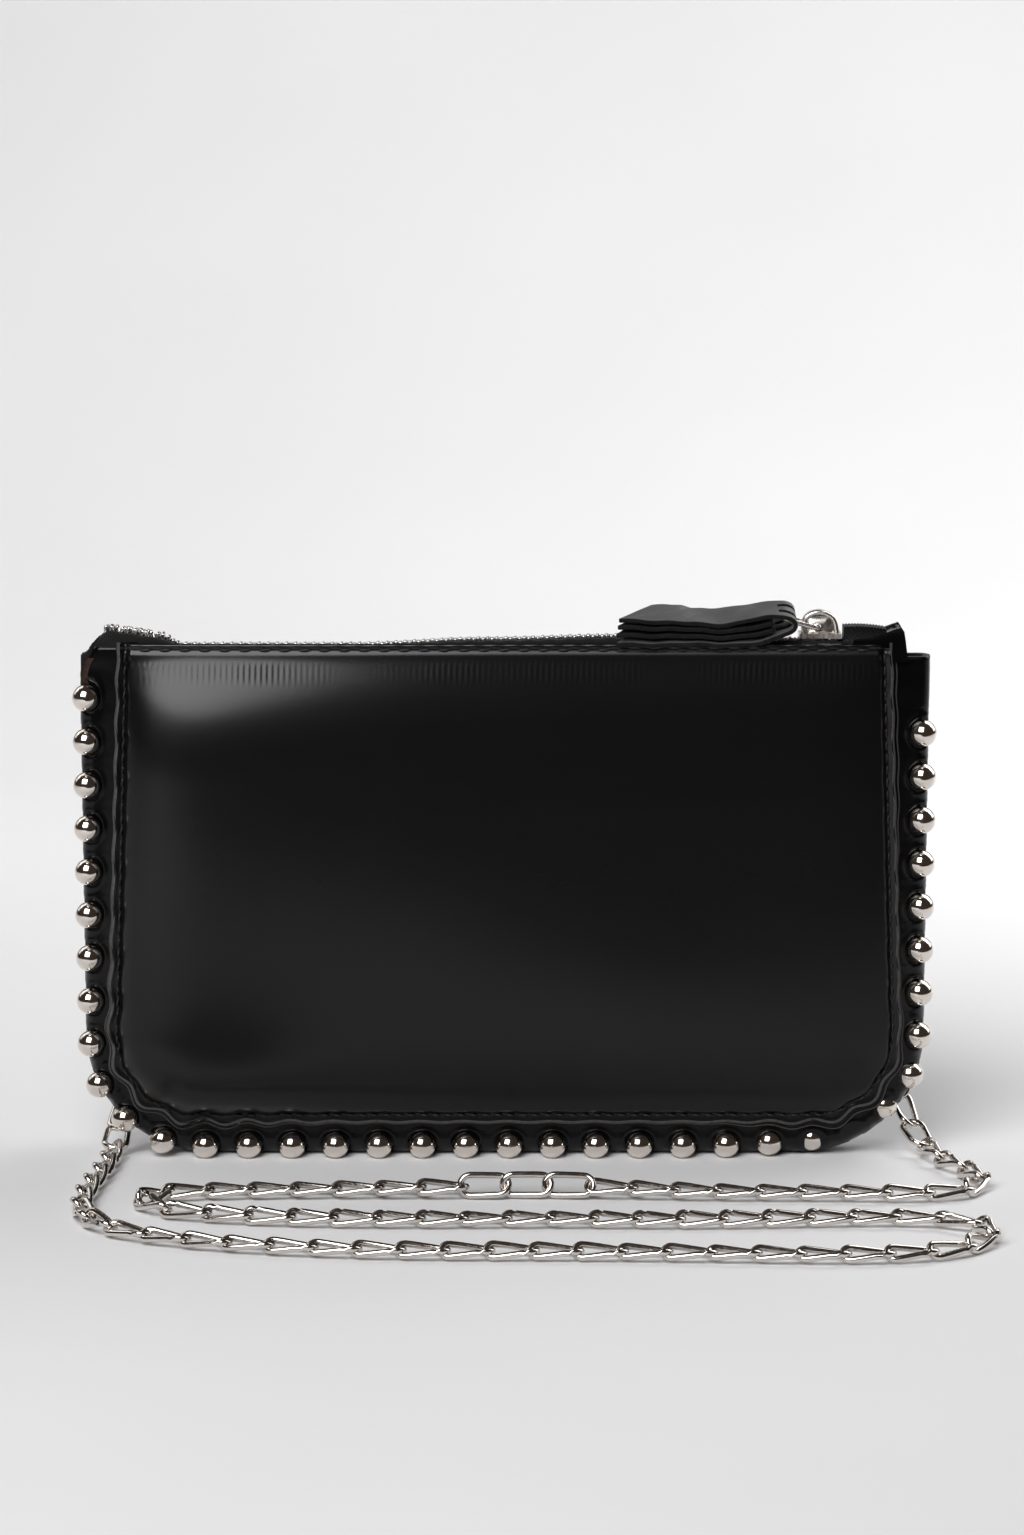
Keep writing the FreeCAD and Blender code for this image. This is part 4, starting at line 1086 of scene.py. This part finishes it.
def strap_layer(name, route, material, hang=0.0):
    """One run of strap, rolled about the pull's length; one that doesn't hang has the slots."""
    line = even_steps(flat_line(route, name), lambda long: int(long / STRAP_STEP))
    points, faces = [], []
    for x, z in line:
        for y in STRAP_ACROSS:
            cut = 0.60 * (y + STRAP_HALF) * smooth_step((56.0 - x) / 26.0)
            ripple = 0.16 * math.sin(x * 0.33 + y * 0.25) + 0.10 * math.sin(x * 0.71 - y * 0.4)
            low = hang or 1.7 * smooth_step((142.4 - z) / 1.2)
            ripple -= low * smooth_step((-y - 1.0) / 5.5) * smooth_step((74.0 - x) / 8.0)
            rolled = z + y * math.sin(STRAP_ROLL) + ripple
            points.append((x + cut, y * math.cos(STRAP_ROLL), rolled))
    width = len(STRAP_ACROSS)
    for row in range(len(line) - 1):
        for column, (low_y, high_y) in enumerate(zip(STRAP_ACROSS, STRAP_ACROSS[1:])):
            in_slot = STRAP_SLOT[0] < abs(low_y + high_y) / 2 < STRAP_SLOT[1]
            if in_slot and line[row][0] > SLOT_FROM and not hang:
                continue
            first = row * width + column
            faces.append([first, first + 1, first + width + 1, first + width])
    piece = make_mesh(name, points, faces, [material, STRAP_EDGE_AND_SHADE])
    thicken(piece, STRAP_THICK, rim_slot=1, offset=0)
    round_edges(piece, 0.28, 2)
    return piece


def make_pull_strap():
    """The strap folds round the ring's bar, over two inner layers."""
    fold = [(29.6, 144.9), (40.0, 144.7), (50.0, 143.9), (57.0, 143.6), (64.0, 145.1)]
    fold += [(70.0, 145.9), (74.6, 145.9), (76.2, 143.7), (74.6, 141.8)]
    fold += [(69.0, 140.6), (60.0, 140.2), (45.0, 140.3), (29.0, 140.3)]
    finish_piece(strap_layer("pull_strap", fold, STRAP), "pull_tab", "tab_leather", "pull_tab")
    inner = [(29.3, 143.4), (42.0, 143.2), (52.0, 142.5), (60.0, 142.5), (70.0, 144.0)]
    under = [(29.0, 142.0), (42.0, 141.9), (52.0, 141.5), (60.0, 141.5), (70.0, 142.6)]
    # The inner layers are the same leather but take the near-black edge colour all over: painted
    # shade between the strap's runs.
    for word, route, hang in (("inner", inner, 0.35), ("second", under, 1.0)):
        layer = strap_layer(f"pull_strap_{word}_layer", route, STRAP_EDGE_AND_SHADE, hang)
        finish_piece(layer, "pull_tab", "tab_leather")


def make_zipper_ends():
    """The right end: folded tape under a leather cap. The left end: tape tucked down."""
    fold = [(88.6, 137.0)]
    for x in np.linspace(88.6, 99.8, 57):
        fold.append((x, 141.9 - 0.012 * (x - 92.0) ** 2 + 0.16 * math.cos(2 * math.pi * x / 0.8)))
    fold.append((100.1, 137.0))
    tape = extruded("zipper_end_fold_right", fold, 2.6, 0.0, TAPE, steps=6)
    finish_piece(tape, "wallet", "zipper_tape", "zipper_end_right")
    cover = [(91.2, 137.6), (91.4, 138.4), (95.0, 139.0), (98.9, 139.9), (101.5, 140.9)]
    cover += [(103.3, 141.5), (103.9, 140.6), (104.3, 138.0), (104.9, 133.4)]
    cover += [(101.6, 133.0), (101.0, 136.8)]
    cap = extruded("zipper_end_cap_right", cover, 5.1, 0.45, LEATHER)
    finish_piece(cap, "wallet", "patent_leather")
    tuck = [(-109.0, 134.0), (-108.2, 136.2), (-106.2, 138.3), (-103.0, 138.9)]
    tuck += [(-100.6, 138.0), (-100.4, 134.0)]
    stub = extruded("zipper_end_fold_left", tuck, 2.4, 0.5, TAPE)
    finish_piece(stub, "wallet", "zipper_tape", "zipper_end_left")


make_bail()
make_pull_strap()
make_zipper_ends()


# ---- CAD nodes that are shown as they are ----

SHOWN_NODES = [
    (board_material(), ("front_stiffener", "back_stiffener")),
    (LINING, ("front_lining", "back_lining", "card_pocket", "gusset_lining")),
    (WASHER_METAL, ("stud_backs",)),
    (ZIP_METAL, ("zipper_bottom_stop", "zipper_top_stops")),
    (SLIDER_METAL, ("slider_body", "pull_ring")),
    (CHAIN_METAL, ("d_ring_left", "d_ring_right", "jump_ring_left", "jump_ring_right")),
    (LEATHER, ("d_ring_loop_left", "d_ring_loop_right")),
]


def dress_cad_nodes():
    for material, names in SHOWN_NODES:
        for name in names:
            NODES[name].data.materials.clear()
            NODES[name].data.materials.append(material)


dress_cad_nodes()


# ---- Stage and light ----


# Where the table ends towards the camera, as x and y in metres; its edge runs slantwise.
TABLE_EDGE = [(-3.0, -2.0), (-0.6, -1.2), (-0.15, -0.7), (-0.08, -0.45)]
TABLE_EDGE += [(-0.05, -0.39), (0.07, -0.35), (0.11, -0.3), (3.0, -0.3)]
SWEEP_FROM, SWEEP_RADIUS, SWEEP_TURN = 0.55, 0.8, 1.1


def make_stage():
    """A pale table that sweeps up into the backdrop."""
    depths = [(0.0, 0.0)]
    for angle in np.linspace(0, SWEEP_TURN, 24):
        reach, rise = SWEEP_RADIUS * math.sin(angle), SWEEP_RADIUS * (1 - math.cos(angle))
        depths.append((SWEEP_FROM + reach, rise))
    sides = np.concatenate([[-3.0, -1.5], np.linspace(-0.6, 0.6, 25), [1.5, 3.0]])
    front = np.interp(sides, *zip(*TABLE_EDGE))
    points = [(x / MM, y / MM, 0.0) for x, y in zip(sides, front)]
    points += [(x / MM, y / MM, z / MM) for y, z in depths for x in sides]
    faces = grid_faces(len(depths) + 1, len(sides))
    nodes = Nodes("studio_paper")
    nodes.colour(nodes.noise(6.0, 2.0), 0.3, (0.80, 0.80, 0.81), 0.7, (0.82, 0.82, 0.83))
    nodes.set(Roughness=0.9, Specular_IOR_Level=0.2)
    nodes.bump((nodes.noise(900.0), 0.02))
    make_mesh("studio_sweep", points, faces, [nodes.material])


def make_light(name, place, aim, wide, high, power):
    light = bpy.data.objects.new(name, bpy.data.lights.new(name, "AREA"))
    light.data.shape = "RECTANGLE"
    light.data.size, light.data.size_y = wide, high
    light.data.energy = power
    light.location = place
    towards = Vector(aim) - Vector(place)
    light.rotation_euler = towards.to_track_quat("-Z", "Y").to_euler()
    SCENE.collection.objects.link(light)


def make_world():
    """A dim, warm room."""
    world = bpy.data.worlds.new("studio")
    world.use_nodes = True
    SCENE.world = world
    background = world.node_tree.nodes["Background"]
    background.inputs["Color"].default_value = (0.040, 0.030, 0.025, 1.0)
    background.inputs["Strength"].default_value = 1.0


# Name, place, aim, width and height in metres, and power.
LIGHTS = [
    ("key_softbox", (-0.40, -0.87, 0.98), (0.0, 0.25, 0.06), 0.87, 0.96, 16.6),
    ("backdrop_strip", (0.20, 0.35, 0.85), (0.15, 1.35, 0.50), 1.5, 0.35, 6.0),
    ("side_right", (1.25, 0.60, 0.70), (0.38, 0.55, 0.0), 0.9, 0.9, 4.7),
    ("side_left", (-1.30, 0.75, 0.80), (-0.4, 0.5, 0.0), 0.8, 0.8, 1.8),
    ("floor_fill_right", (0.42, 0.34, 0.50), (0.42, 0.38, 0.0), 0.45, 0.5, 2.2),
    ("floor_fill_left", (-0.42, 0.34, 0.50), (-0.42, 0.38, 0.0), 0.4, 0.4, 0.6),
]


def make_lighting():
    for light in LIGHTS:
        make_light(*light)
    make_world()
    SCENE.view_settings.view_transform = "Standard"
    SCENE.view_settings.look = "None"
    SCENE.view_settings.exposure = 0.0


make_stage()
make_lighting()
